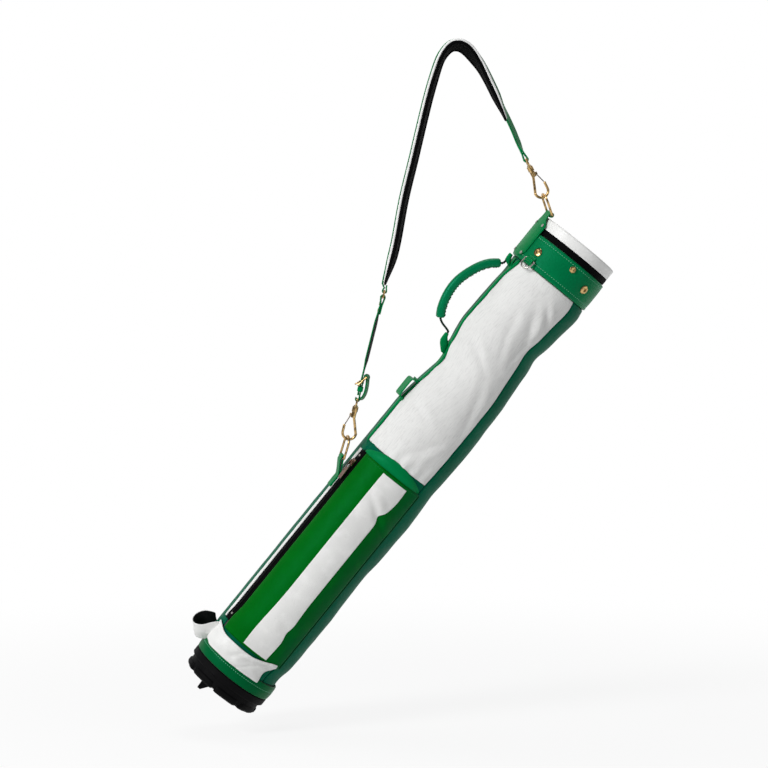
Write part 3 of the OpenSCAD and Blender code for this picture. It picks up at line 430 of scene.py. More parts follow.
def patched(name, mat, node, *args, **more):
    """A piece on the bag that is one patch, in place of one CAD node."""
    mesh = Mesh()
    patch(mesh, *args, **more)
    return mesh.make(name, mat, "bag", node=(node,))


def on_bag(u, h, off):
    """The soft body's surface, u in millimetres round it from the front."""
    return BAG @ body_point(degrees(u / TUBE_R), h, off)


def on_round(r):
    return lambda u, h, off: BAG @ around(r + off, degrees(u / r), h)


def arc(a, r=TUBE_R):
    return radians(a) * r


def all_round(r):
    """The surface and the span of a patch that runs all round the bag."""
    return on_round(r), (arc(-180, r), arc(180, r))


def spread(points, extra, step):
    """Places a step apart along a polyline: point, direction and the carried value."""
    found, left = [], step / 2
    for (a, b), (na, nb) in zip(zip(points, points[1:]), zip(extra, extra[1:])):
        span = (b - a).length
        while left <= span:
            k = left / span
            found.append((a.lerp(b, k), (b - a) / span, na.lerp(nb, k).normalized()))
            left += step
        left -= span
    return found


def stitch(mesh, points, normals, length=3.4, pitch=5.0, r=0.45, sink=0.1):
    """A row of thread stitches along a polyline, each bedded at its ends."""
    for at, along, up in spread(points, normals, pitch):
        side = along.cross(up).normalized()
        rings = []
        for k, width, rise in ((-0.5, 0.45, -0.9), (-0.36, 0.95, -0.1), (0.0, 1.0, 0.25), (0.36, 0.95, -0.1),
                               (0.5, 0.45, -0.9)):
            middle = at + along * (k * length) + up * (rise * r - sink)
            rings.append([middle + side * (cos(t) * r * width) + up * (sin(t) * r * width)
                          for t in (0, 1.257, 2.513, 3.77, 5.027)])
        mesh.tube(rings)


def stitch_round(name, thread, out, heights, **sizes):
    """Rows of stitches all round the bag."""
    mesh, ways = Mesh(), [radians(a) for a in range(-180, 181, 3)]
    for h in heights:
        stitch(mesh, [BAG @ around(out, degrees(t), h) for t in ways],
               [BAG.to_3x3() @ around(1, degrees(t), 0) for t in ways], **sizes)
    mesh.make(name, thread, "bag", slot="green_leather")


def ribbon_section(width, thick, n=5):
    """A strap's cross-section as (out, side) points: flat faces, rounded edges."""
    r = thick / 2
    flat, bend = steps(r - width / 2, width / 2 - r, n), (1.05, 0.52, 0, -0.52, -1.05)
    pts = [(r, x) for x in flat] + [(r * sin(t), flat[-1] + r * cos(t)) for t in bend]
    return pts + [(-a, -b) for a, b in pts]


def ribbon(mesh, path, out, side, section):
    """Sweeps a section along a path. out, side and section are one value, or one for each point."""
    rings, uvs = [], []
    for i, (p, s) in enumerate(zip(path, runs(path))):
        o = out[i] if isinstance(out, list) else out
        d = side[i] if isinstance(side, list) else side
        pts = section(i) if callable(section) else section
        rings.append([p + o * a + d * b for a, b in pts])
        uvs.append([(b + (40 if a < 0 else 0), s) for a, b in pts])
    mesh.tube(rings, uvs)


def flat_frames(path2, matrix):
    """The points of a path of (x, z) pairs in a frame's XZ plane, and the directions to its left."""
    turn = matrix.to_3x3()
    points, outs = [], []
    for i, (x, z) in enumerate(path2):
        a, b = path2[max(i - 1, 0)], path2[min(i + 1, len(path2) - 1)]
        t = Vector((b[0] - a[0], 0, b[1] - a[1])).normalized()
        points.append(matrix @ Vector((x, 0, z)))
        outs.append((turn @ Vector((t.z, 0, -t.x))).normalized())
    return points, outs


def smooth_path(pts, n=4):
    """Catmull-Rom through (x, y) pairs."""
    full = [pts[0]] + list(pts) + [pts[-1]]
    found = []
    for p0, p1, p2, p3 in zip(full, full[1:], full[2:], full[3:]):
        for k in range(n):
            t = k / n
            found.append(tuple(0.5 * (2 * b + (c - a) * t + (2 * a - 5 * b + 4 * c - d) * t * t
                                      + (3 * b - a - 3 * c + d) * t ** 3)
                               for a, b, c, d in zip(p0, p1, p2, p3)))
    return found + [pts[-1]]


# ---------- the soft body ----------
def crumple(u, h, size=1.0):
    """Soft hollows and ridges of limp cloth over a stiff tube."""
    broad = waves((u, h * 0.55), 0.022, 3.1) * 0.8 + waves((u + h * 0.5, h * 0.9), 0.05, 9.4) * 0.45
    fine = waves((u * 1.1, h * 0.5), 0.13, 5.7) * 0.18
    return size * (broad + fine)


def fold(u, h, at, angle, length, width, depth):
    """A soft valley with a ridge beside it, centred at (u, h) and running at an angle from the bag's axis."""
    c, s = cos(radians(angle)), sin(radians(angle))
    along, across = (u - at[0]) * s + (h - at[1]) * c, (u - at[0]) * c - (h - at[1]) * s
    return depth * (0.8 * bell(across - 1.4 * width, width * 1.2) - bell(across, width)) * bell(along, length)


# the front panel's folds: place, angle, length, width and depth
FOLDS = [
    ((22, 716), -30, 34, 7, 1.7), ((38, 684), 12, 30, 5, 1.5), ((-18, 640), -52, 30, 6, 1.1),
    ((30, 742), -44, 26, 5, 1.2),
    ((2, 690), -18, 44, 6, 0.9), ((30, 560), -22, 46, 8, 1.3), ((-30, 520), -60, 26, 6, 1.0),
    ((6, 470), 28, 36, 7, 1.2)]


def panel_relief(u, h):
    dip = bell(h - 604, 26) * smooth(u, -62, -50)
    pull = 1.1 * sin((h - 604) * 0.16 + u * 0.12) * bell(h - 604, 48) * (1 - smooth(u, -58, -18))
    toe = 0.9 * sin(u * 0.33 + 1.0) * bell(h - 436, 26)
    folds = sum(fold(u, h, *one) for one in FOLDS)
    inside = smooth(min(u + 60, 47 - u), 2, 14)
    return 1.0 + crumple(u, h, 1.35) + pull - 0.5 * dip + toe + 1.5 * folds * inside


def seam_shift(h):
    """How far the left seam has slipped round to the side of the limp bag."""
    return arc(11.5) * smooth(h, 427, 433) * (1 - smooth(h, 752, 786))


def on_slipped(u, h, off):
    return on_bag(u - seam_shift(h) * smooth(-u, 8, 58), h, off)


def behind_seam(u, h, off):
    return on_bag(u - seam_shift(h) * smooth(u, arc(235), arc(299)), h, off)


# the front panel's sides, the foot and top of the panels, and the cloth's thickness and its lift off the tube
PANEL_SIDES, PANEL_FOOT, PANELS_LOW, PANELS_TOP = (arc(-55), arc(43)), 434, 50.3, 786.7
CLOTH_T, CLOTH_LIFT = 1.3, 0.3
front = patched("front_panel_cloth", NYLON, "front_panel", on_slipped, PANEL_SIDES, (PANEL_FOOT, PANELS_TOP),
                CLOTH_T, CLOTH_LIFT,
                panel_relief, edge=2.2, step=2.6)


def back_relief(u, h):
    free = 1 - bell(u - arc(289), 19)
    side = (crumple(u + 40, h, 0.9) + 0.3) * free
    seam = -0.7 * bell(u - arc(180), 1.6) + 0.35 * (bell(u - arc(180) - 4, 2.2) + bell(u - arc(180) + 4, 2.2))
    side_seam = -0.6 * bell(u - arc(78), 1.4) * (1 - smooth(h, 380, 440))
    return side + seam + side_seam


back = Mesh()
patch(back, behind_seam, (arc(44), arc(301.5)), (PANELS_LOW, PANELS_TOP), CLOTH_T, CLOTH_LIFT, back_relief,
      edge=2.0, step=4.2)
patch(back, on_bag, PANEL_SIDES, (PANELS_LOW, PANEL_FOOT - 0.3), CLOTH_T, CLOTH_LIFT, lambda u, h: 0.4
      + crumple(u, h, 0.5), edge=2.0, step=5.0)
patch(back, on_bag, (arc(-74), arc(-48)), (420, 438), 0.9, 0.2, None, edge=0.6, step=3.0)
# the side and back panels, in the leather with painted shade
back.make("side_and_back_leather", SIDE, "bag", node=("back_panel",))

seams = Mesh()
for a in (182.4, 177.6, 47.0, 296.0):
    hs = steps(60, 782, 90)
    points = [behind_seam(arc(a), h, CLOTH_LIFT + CLOTH_T + back_relief(arc(a), h)) for h in hs]
    stitch(seams, points, facing(behind_seam, [(arc(a), h) for h in hs]), pitch=4.6)
seams.make("body_stitches", THREAD, "bag", slot="green_leather")

# rolled piping down the left seam of the front panel
piping = Mesh()
rings, uvs = [], []
for i, h in enumerate(steps(430.5, 786.5, 90)):
    end = edge_lift(i, 0, 90, 1.5)
    ring, ring_uv = [], []
    for k, t in enumerate(circle(14)):
        bulge = 2.35 * end
        wide = (2.9 if sin(t) < 0 else 2.5) * end * (1 + 1.5 * smooth(-cos(t), 0, 1) * smooth(h, 433, 446))
        off = 2.0 + bulge * sin(t) * (0.72 if sin(t) < 0 else 1.0) + 0.12 * waves((h, k), 0.05)
        ring.append(on_bag(arc(-58) - seam_shift(h) + wide * cos(t), h, off))
        ring_uv.append((k * 1.1, h))
    rings.append(ring)
    uvs.append(ring_uv)
piping.tube(rings, uvs)
piping.make("seam_piping", LEATHER, "bag", node=("spine_piping",))


# ---------- the collar and the mouth ----------
def collar_relief(u, h):
    rows = -0.75 * sum(bell(h - row, 1.3) for row in COLLAR_ROWS)
    puff = 0.25 * sin(pi * min(max((h - 795) / 34, 0), 1)) + 0.12 * crumple(u, h)
    for a, at in SNAPS:
        d = hypot(u - radians(a) * COLLAR_R, h - at)
        puff = puff * (1 - bell(d, 9)) - 0.35 * bell(d - 8.5, 2.2)
    seam = -0.7 * bell(u - arc(-35.5 + 180, COLLAR_R), 1.3)
    return min(rows + puff * (0.2 if abs(u - arc(SPINE_A, COLLAR_R)) < 26 else 1.0) + seam, 0.25)


COLLAR_ROWS = (794.5, 829.5)
SNAPS = [(a, 811.0) for a in (-38, 41, -104, -183)] + [(a, 823.0) for a in (10.6, -152.6)]
SNAPS += [(a + 360, h) for a, h in SNAPS if a < -100]
collar = patched("padded_collar", COLLAR, "collar", *all_round(COLLAR_R - 5), (787.0, 834.9), 5.0, 0.0,
                 lambda u, h: collar_relief(u * COLLAR_R / (COLLAR_R - 5), h), edge=2.6, step=2.2, ring=True)
stitch_round("collar_stitches", THREAD_LIGHT, COLLAR_R - 0.5, COLLAR_ROWS, length=2.6, pitch=4.2, r=0.55)
patched("mouth_webbing", WEBBING, "black_band", *all_round(TUBE_R + 0.3), (835.2, 844.9), 2.4, 0.0,
        lambda u, h: -0.25 * (bell(h - 836.6, 0.5) + bell(h - 843.5, 0.5)), edge=0.9, step=1.6, ring=True)


def spine_place(r, s, h, flat=0.0):
    """A place beside the spine: s along the surface; flat turns the cylinder's curve off."""
    curved = around(r, SPINE_A + degrees(s / COLLAR_R), h)
    a = radians(SPINE_A)
    straight = Vector((r * sin(a) + s * cos(a), -r * cos(a) + s * sin(a), h))
    return BAG @ curved.lerp(straight, flat)


def strip_sheet(mesh, route, thick, n=12):
    """A leather strip along the spine, by rows of r, h, half width, flatness, and the way its face looks."""
    rings, uvs = [], []
    edge = [sin(-pi / 2 + pi * k / 6) for k in range(7)]
    for (r, h, half, flat, nr, nh), run in zip(route, runs([Vector(row[:2]) for row in route])):
        ring, ring_uv = [], []
        outline = [(half * (2 * k / n - 1) * 0.97, 1.0) for k in range(n + 1)]
        outline += [(half * (0.97 + 0.03 * sqrt(max(0, 1 - e * e))), -e) for e in edge]
        outline += [(half * (1 - 2 * k / n) * 0.97, -1.0) for k in range(n + 1)]
        outline += [(-half * (0.97 + 0.03 * sqrt(max(0, 1 - e * e))), e) for e in edge]
        for s, face in outline:
            k = face * thick / 2
            ring.append(spine_place(r + nr * k, s, h + nh * k, flat))
            ring_uv.append((s + (60 if face < 0 else 0), run))
        rings.append(ring)
        uvs.append(ring_uv)
    mesh.tube(rings, uvs)


UPPER_BAR, LOWER_BAR = (67.17, 867.8), (81.62, 389.02)
BAR_WRAP = 2.95  # from a bar's middle to the middle of the leather round it
mid_r = 69.6 + 0.9  # the collar's outside, and half the strip's thickness
route = []
for i in range(25):
    t = i / 24
    h = 790.2 + (860 - 790.2) * t
    taper = smooth(h, 846, 860)
    half = 20.5 * edge_lift(min(h, 840), 788, 900, 16) * (1 - taper) + 9.7 * taper
    route.append((mid_r, h, half, smooth(h, 850, 862), 1.0, 0.0))
for k in range(13):
    t = radians(-8 + 196 * k / 12)
    route.append((UPPER_BAR[0] + BAR_WRAP * cos(t) + (0.35 if k < 4 else 0), UPPER_BAR[1]
                  + BAR_WRAP * sin(t), 9.7, 1.0,
                  cos(t), sin(t)))
route += [(UPPER_BAR[0] - 2.2, UPPER_BAR[1] - 2.4, 9.7, 1.0, -1.0, -0.1),
          (UPPER_BAR[0] + 0.2, UPPER_BAR[1] - 3.6, 9.5, 1.0, -0.5, -0.9)]
strip = Mesh()
strip_sheet(strip, route, 1.8, 14)
strip.make("spine_strip_leather", LEATHER, "bag", node=("spine_strip",))
edge_rows = Mesh()
for side in (-1, 1):
    low, high = [[spine_place(mid_r + lift, side * 17.6, h) for h in steps(795, 845, 20)]
                 for lift in (0.95, 3)]
    stitch(edge_rows, low, [(b - a).normalized() for a, b in zip(low, high)], length=2.6, pitch=4.0, r=0.38)
edge_rows.make("spine_strip_stitches", THREAD, "bag", slot="green_leather")


# ---------- leather tabs on the spine and collar ----------
def tab(mesh, angle, route2, width, thick):
    """A leather strap along (r, h) points in the plane at an azimuth, rounded at its edges."""
    frame_here = at_angle(angle)
    points, outs = flat_frames(route2, frame_here)
    side = (frame_here.to_3x3() @ Vector((0, 1, 0))).normalized()
    ends = len(points) - 1
    ribbon(mesh, points, outs, side, lambda i: [(a, b * (0.9 + 0.1 * min(1, min(i, ends - i) / 3)))
                                                for a, b in ribbon_section(width, thick)])


def loop_round(center, r, a0, a1, n=14):
    return [(center[0] + r * cos(radians(a0 + (a1 - a0) * k / n)),
             center[1] + r * sin(radians(a0 + (a1 - a0) * k / n))) for k in range(n + 1)]


def spine_seat(h0, h1):
    return max(body_r(SPINE_A, h0 + (h1 - h0) * i / 6) for i in range(7)) + 1.9


ring_tab = Mesh()
low = LOWER_BAR[1] - 46
seat = spine_seat(low, low + 24)
tab(ring_tab, SPINE_A, smooth_path([(seat + 2.8, low), (seat + 2.8, low + 14), (seat + 3.6, low + 22),
                                    (83.2, 383.5)], 4)
    + loop_round(LOWER_BAR, BAR_WRAP, -50, 212)
    + smooth_path([(78.3, 384.5), (seat + 1.6, low + 24), (seat + 0.9, low + 18),
                                                           (seat + 0.9, low)], 4), 15, 1.75)
ring_tab.make("lower_ring_leather", LEATHER, "bag", node=("lower_ring_tab",))

ring_tab = Mesh()
bar = (COLLAR_R + 0.3 + 1.8 + 1.3 + 0.3, BODY_TOP + 8)
tab(ring_tab, -38, [(70.6, 801.8), (70.6, 798), (70.9, 797)] + loop_round(bar, 2.5, 150, -148)
    + [(71.4, 793.2), (70.7, 792.2), (70.5, 789)], 13.6, 1.7)
ring_tab.make("accessory_leather", LEATHER, "bag", node=("accessory_tab",))

towel = Mesh()
TOWEL_H, TOWEL_HALF, TOWEL_RISE = 531.0, 15.0, 10.5
seat = spine_seat(TOWEL_H - TOWEL_HALF, TOWEL_H + TOWEL_HALF)
arch = [(seat + 0.95, TOWEL_H - 20), (seat + 0.95, TOWEL_H - 15.5)]
top = seat + TOWEL_RISE - 0.95
arch += smooth_path([(seat + 2.4, TOWEL_H - 15.9), (top - 2.2, TOWEL_H - 15.6), (top - 0.3, TOWEL_H - 13.8),
                     (top, TOWEL_H - 8),
                     (top, TOWEL_H + 8), (top - 0.3, TOWEL_H + 13.8), (top - 2.2, TOWEL_H + 15.6),
                     (seat + 2.4, TOWEL_H + 15.9)], 3)
arch += [(seat + 0.95, TOWEL_H + 15.5), (seat + 0.95, TOWEL_H + 20)]
tab(towel, SPINE_A, arch, 22, 1.8)
towel.make("towel_loop_leather", LEATHER, "bag", node=("towel_loop",))
loops = Mesh()
turn = BAG.to_3x3() @ around(1, SPINE_A, 0)
for h in (TOWEL_H - 17.8, TOWEL_H + 17.8):
    stitch(loops, [at_angle(SPINE_A) @ Vector((seat + 1.9, y, h)) for y in (-8.5, 8.5)], [turn, turn],
           length=2.4,
           pitch=3.4, r=0.36)
loops.make("towel_loop_stitches", THREAD, "bag", slot="green_leather")

# ---------- the handle ----------
AXIS_R = 75.0
HANDLE = [(75, 785), (75, 772), (77, 766), (84, 761), (93, 753.5), (102, 741), (108.5, 727), (113.5, 712),
          (115.7, 698),
          (115.2, 685), (112.5, 671), (107, 656), (100, 645), (92, 640), (82, 637.5), (76, 635.5), (75, 632),
          (75, 620)]
ANCHORS = (773.0, 620.0)
spine_frame = at_angle(SPINE_A)
anchors = Mesh()
for h in ANCHORS:
    seat = spine_seat(h - 22, h + 12)
    # a folded tab lies on the spine below, and rises to the socket that holds the cord's end
    down = [h - 34 + 4 * k for k in range(9)]
    tab(anchors, SPINE_A, [(body_r(SPINE_A, z) + 2.75, z) for z in down]
        + [(seat + 1.2, h + 4), (seat + 1.0, h + 12)], 10, 1.8)
    rings, root = [], 15.0 if h < 700 else 5.0
    for share, r in ((1.0, 0.8), (0.8, 1.9), (0.4, 2.6), (0.06, 3.1), (-4, 3.3), (-8, 3.3), (-10, 3.3),
                     (-12, 3.15), (-12.4, 2.95)):
        z = h - share * (root if share > 0 else 1.0)
        outer = AXIS_R + r - 12.0 * (1 - smooth(z, h - root - 2, h + 3)) ** 1.5
        inner = min(outer - 2 * r, body_r(SPINE_A, z) + 3.0)
        inner += (outer - 2 * r - inner) * smooth(z, h - 2, h + 11)
        rings.append([spine_frame @ Vector(((outer + inner) / 2 + (outer - inner) / 2 * cos(t), r * sin(t),
                                            z))
                      for t in circle(20)])
    for z, r in ((h + 12.4, 2.65), (h, 2.65), (h - 0.5, 1.2)):
        rings.append([spine_frame @ Vector((AXIS_R + r * cos(t), r * sin(t), z)) for t in circle(20)])
    anchors.tube(rings)
anchors.make("handle_anchor_leather", LEATHER, "bag", node=("handle_anchors",))


def twisted_cord(mesh, points, r, strands=3, turns=0.12):
    """Strands laid round one another along a path."""
    for s in range(strands):
        rings = []
        for p, tangent, run in zip(points, tangents_of(points), runs(points)):
            a = tangent.cross(Vector((0, 1, 0))).normalized()
            b = tangent.cross(a).normalized()
            spin = 2 * pi * (s / strands + run * turns)
            middle = p + (a * cos(spin) + b * sin(spin)) * r * 0.5
            rings.append([middle + (a * cos(t) + b * sin(t)) * r * 0.52 for t in circle(6)])
        mesh.tube(rings)


cord = Mesh()
twisted_cord(cord, [spine_frame @ Vector((r, 0, h)) for r, h in smooth_path(HANDLE, 6)], 1.9)
cord.make("handle_cord", CORD, "handle", node=("handle_core",))

grip_route = smooth_path([(80.0, 764.0)] + HANDLE[4:13], 5)
points, outs = flat_frames(grip_route, spine_frame)
side = (spine_frame.to_3x3() @ Vector((0, 1, 0))).normalized()
grip_runs = runs(points)
total = grip_runs[-1]
grip, rings, uvs = Mesh(), [], []
for i, (p, run) in enumerate(zip(points, grip_runs)):
    ends = min(run, total - run)
    body = 0.8 + 0.2 * sqrt(1 - (1 - min(1, ends / 3)) ** 2)
    ring, ring_uv = [], []
    for t in circle(28):
        r = 7.0 * body * (1 + 0.012 * sin(run * 0.9 + 2 * t))
        # whip stitching pinches the seam on the inner side
        seam = bell(atan2(sin(t), cos(t)), 0.3)
        r += -0.9 * seam * (0.55 + 0.45 * cos(2 * pi * run / 6.2))
        ring.append(p + outs[i] * (cos(t) * r) + side * (sin(t) * r))
        ring_uv.append((r * t, run))
    rings.append(ring)
    uvs.append(ring_uv)
grip.tube(rings, uvs)
grip = grip.make("handle_grip_leather", GRIP, "handle", node=("handle_grip",))
whip = Mesh()
tangents, due = tangents_of(points), 3.0
for i, run in enumerate(grip_runs):
    if run < due or total - run < 3:
        continue
    due += 5.2
    rings = []
    for k in range(9):
        t = radians(-62 + 124 * k / 8)
        around_grip = outs[i] * cos(t) + side * sin(t)
        out = 6.8 - 0.9 * abs(k / 4 - 1) ** 4
        middle = points[i] + tangents[i] * (3.4 * (k / 8 - 0.5)) + around_grip * out
        r = 1.15 * (0.35 + 0.65 * sin(pi * (k + 0.6) / 9.2))
        rings.append([middle + around_grip * (r * cos(v)) + tangents[i] * (r * sin(v)) for v in circle(6)])
    whip.tube(rings)
whip.make("handle_whip_stitches", THREAD_DARK, "handle", slot="green_leather")


# ---------- the pocket ----------
POCKET_LOW, POCKET_TOP, POCKET_R = 90.0, 418.0, 69.6
POCKET_FOOT = 78.0
ZIP_A = -56.25


def veer(h):
    return -4.0 * (1 - smooth(h, 92, 126))


def pocket_lift(u, h):
    """The filled pocket: a crowned front with a fold near its top and a dent near its foot."""
    a = degrees(u / POCKET_R)
    t, v = (a + 50) / 94, (h - POCKET_LOW) / (POCKET_TOP - POCKET_LOW)
    lift = 5 * sin(pi * min(max(t, 0), 1)) * (1 - (2 * v - 1) ** 6)
    across = (h - 356) * 0.80 + (u - 16) * 0.6
    along = (u - 16) * 0.80 - (h - 356) * 0.6
    lift += (-3.0 * bell(across, 5) + 1.9 * bell(across - 10, 7)) * bell(along, 30)
    lift += -1.8 * bell((h - 136) * 0.9 + (u - 22) * 0.45, 9) * bell(u - 22, 18)
    lift += 0.9 * bell(h - 384, 24) * bell(u + 34, 20) + 0.8 * bell(h - 108, 18) * bell(u + 30, 22)
    lift += 0.55 * crumple(u, h) * smooth(min(t, 1 - t), 0, 0.12)
    return lift * smooth(h, POCKET_FOOT, POCKET_LOW + 6) - 1.2 * (1 - smooth(h, POCKET_FOOT, POCKET_LOW + 4))


def pocket_arc(a):
    return arc(a, POCKET_R)


def on_pocket(u, h, off):
    u += veer(h) * (1 - smooth(u, pocket_arc(-50), pocket_arc(-32)))
    return BAG @ around(POCKET_R + off, degrees(u / POCKET_R), h)


def on_pocket_face(u, h, off):
    return on_pocket(u, h, off + pocket_lift(u, h))


def pocket_row(mesh, places, off, length, pitch, r):
    stitch(mesh, [on_pocket_face(u, h, off) for u, h in places], facing(on_pocket, places), length, pitch, r)


patched("pocket_front_leather", POCKET, "pocket_front", on_pocket, (pocket_arc(-50), pocket_arc(44.2)),
        (POCKET_FOOT, POCKET_TOP), 4.6, -3.3, pocket_lift, edge=3.0, step=2.6)


def stripe_place(u, h, off):
    right = smooth(u, pocket_arc(0), pocket_arc(24))
    bite = 4.4 * bell(h - 357, 8) + 6.6 * (1 - smooth(h, 346, 392)) * smooth(h, 110,
            190) + 2.6 * bell(h - 132, 10)
    u -= bite * right + 3.6 * (1 - smooth(h, 90, 190))
    return on_pocket_face(u, h, off)


STRIPE = (pocket_arc(-12.6), pocket_arc(23.4))
patched("pocket_stripe_leather", WHITE_PU, "pocket_stripe", stripe_place, STRIPE, (82, 412), 0.85, 1.25,
        edge=0.7,
        step=2.6)
rows = Mesh()
for u in (STRIPE[0] + 2.0, STRIPE[1] - 2.0):
    places = [(u, h) for h in steps(84, 410, 84)]
    stitch(rows, [stripe_place(u, h, 2.05) for u, h in places], facing(on_pocket, places), 2.6, 3.9, 0.34)
rows.make("stripe_stitches", THREAD_WHITE, "bag", slot="white_leather")
rows = Mesh()
edge_u = pocket_arc(44.2) - 4.2
pocket_row(rows, [(edge_u, h) for h in steps(94, 414, 80)], 1.3, 2.8, 4.2, 0.36)
pocket_row(rows, [(u, POCKET_TOP - 4.2) for u in steps(pocket_arc(-48), edge_u, 40)], 1.3, 2.8, 4.2, 0.36)
rows.make("pocket_stitches", THREAD, "bag", slot="pocket_green")

# a rolled edge down the pocket's right side, near-black as painted shadow in the seam there
seam_shadow_cord = Mesh()
edge_u = pocket_arc(44.2) + 0.9
rings = []
for i, h in enumerate(steps(POCKET_FOOT + 2, POCKET_TOP - 1, 110)):
    r = 1.5 * edge_lift(i, 0, 110, 1.5) + 0.01
    rings.append([on_pocket(edge_u + r * cos(t), h, -0.2 + r * sin(t)) for t in circle(10)])
seam_shadow_cord.tube(rings)
seam_shadow_cord.make("pocket_edge_cording", SEAM_SHADOW_LEATHER, "bag", slot="green_leather")

# the leather welt between the pocket and the front panel
WELT = (arc(-54.5), arc(42))


def share_of(u, span):
    return (u - span[0]) / (span[1] - span[0])


def welt_place(u, v, off):
    t = share_of(u, WELT)
    top = 420.5 + 16.5 * sin(pi * min(max(t, 0), 1)) ** 0.8
    return on_bag(u, 415.5 + (top - 415.5) * v / 20, off)


def welt_relief(u, v):
    t = share_of(u, WELT)
    fold = -1.3 * bell(v - 9 - 8 * (t - 1), 2.2) * smooth(t, 0.84, 0.97)
    return 2.4 * sin(pi * v / 20) * smooth(min(t, 1 - t), 0, 0.25) + 0.25 * crumple(u, v * 3) + fold


patched("pocket_welt_leather", LEATHER, "pocket_welt", welt_place, WELT, (0, 20), 1.5, 1.9, welt_relief,
        edge=1.2,
        step=1.4)

# zipper: tape, coil and the white side strip
patched("zipper_tape_cloth", TAPE, "zipper_tape",
        lambda u, h, off: BAG @ around(POCKET_R + off, degrees((u + veer(h)) / POCKET_R), h),
        (pocket_arc(-62), pocket_arc(-50.3)), (90.2, 417.8), 0.9, -1.0,
        lambda u, h: -0.35 * bell(abs(u - pocket_arc(ZIP_A)) - 3.4, 0.6), edge=0.5, step=1.3)
coil = Mesh()
COIL_LOW, COIL_TOP, TEETH = 104.8, 405.4, 196
for h in steps(COIL_LOW, COIL_TOP, TEETH - 1):
    for s in (-1, 1):
        here = at_angle(ZIP_A + degrees(veer(h) / POCKET_R),
                        (POCKET_R + 0.62, 0, h + (0.38 if s > 0 else -0.38)))
        rings = []
        for y, r in ((0.1, 0.15), (0.25, 0.42), (1.0, 0.5), (1.7, 0.46), (2.1, 0.2)):
            rings.append([here @ Vector((r * cos(t), s * (y - 0.35), r * 0.85 * sin(t)))
                          for t in (0, 1.047, 2.094, 3.142, 4.189, 5.236)])
        coil.tube(rings)
coil.make("zipper_coil", COIL, "bag", node=("zipper_chain",), slot="black_plastic")


def gusset_relief(u, h):
    wall = 1 - smooth(u, arc(-65.2), arc(-62.4))
    gap = POCKET_R - body_r(degrees(u / TUBE_R), h) - 1.9
    return max(0.0, gap) * (1 - wall)


patched("pocket_side_leather", WHITE_PU, "pocket_gusset", on_bag, (arc(-72.5), arc(-62.4)), (91, 417), 0.45,
        1.4,
        gusset_relief, edge=0.4, step=1.1)

# ---------- the foot ----------
FOOT_R, FOOT_ROW = 64.2, 40.5
# the foot band, in the leather darkened by painted shade
patched("foot_band_leather", FOOT, "foot_band", *all_round(FOOT_R), (26.3, 50), 2.0, 0.0,
        lambda u, h: 1.15 * sin(pi * (h - 26) / 24) ** 0.7 - 0.7 * bell(h - FOOT_ROW, 1.1)
        + 0.12 * crumple(u, h),
        edge=1.4, step=1.8, ring=True)
stitch_round("foot_band_stitches", THREAD_LIGHT, 66.9, (FOOT_ROW,), length=2.4, pitch=4.0, r=0.55)
stitch_round("foot_stitches", THREAD, 66.3, (45.6,), length=2.8, pitch=4.4, r=0.4)

# the sole's lugs stand in pairs, each pair under one broad block
BOOT_R, BOOT_LOW = 62.0, -5.0
tread = Mesh()
for i in range(8):
    rings = []
    for k in range(13):
        e = edge_lift(k, 0, 12, 1.0)
        a = radians(45 * i + 11.25 + 19.6 * (2 * k / 12 - 1))
        rings.append([BAG @ Vector((r * cos(a), r * sin(a), BOOT_LOW + z)) for r, z in
                      ((BOOT_R - 13, 0.3), (BOOT_R - 3, -0.1 + 0.6 * (1 - e)), (BOOT_R + 0.6 * e, 2.1),
                       (BOOT_R + 1.9 * e, 4.2), (BOOT_R + 1.9 * e, 8.8),
                       (BOOT_R - 0.6, 12.2), (BOOT_R - 13, 11.8))])
    tread.tube(rings)
tread.make("boot_tread", RUBBER, "bag", slot="black_rubber")

# ---------- the grab strap ----------
GRAB_R = 68.0
GRAB = (arc(-68, GRAB_R), 36.0)


def grab_place(u, v, off):
    """The white strap round the foot: v runs 0 to 1 up its width, and its right end runs out in a point."""
    t = share_of(u, GRAB)
    reach = smooth(t, 0.55, 1.0)
    end = 10.5 * smooth(v, 0.48, 0.86) - 2.0 * bell(v - 0.42, 0.2)
    low = 43.5 + 2.5 * t + 5.0 * (1 - smooth(t, 0, 0.16))
    top = 73.5 + 8.5 * (1 - smooth(t, 0, 0.34)) ** 1.4 + 11.5 * smooth(t, 0.62, 1.0) ** 1.3
    bulge = 1.4 + 3.2 * sin(pi * min(max(v, 0), 1)) * sin(pi * min(max(t, 0), 1)) ** 0.6
    bulge += 2.6 * smooth(v, 0.8, 1.0) * sin(pi * min(max(t, 0), 1)) - 3.6 * bell(v - 0.62 - 0.1 * t,
            0.13) * smooth(t, 0.55, 0.86)
    bulge += 1.6 * bell(v - 0.86, 0.1) * smooth(t, 0.6, 0.95)
    bulge -= 1.5 * bell(u + 30 - 26 * v, 4) * smooth(v, 0.1, 0.5) + 1.2 * bell(u + 6 - 34 * v,
            3.5) * (1 - smooth(v, 0.5, 0.95))
    bulge += 1.1 * waves((u, v * 34), 0.08, 4.0) + 0.5 * sin(u * 0.21 + v * 4) * bell(t - 0.25, 0.2)
    return BAG @ around(GRAB_R + max(0.2, bulge) + off, degrees((u + end * reach) / GRAB_R), low
                        + (top - low) * v)


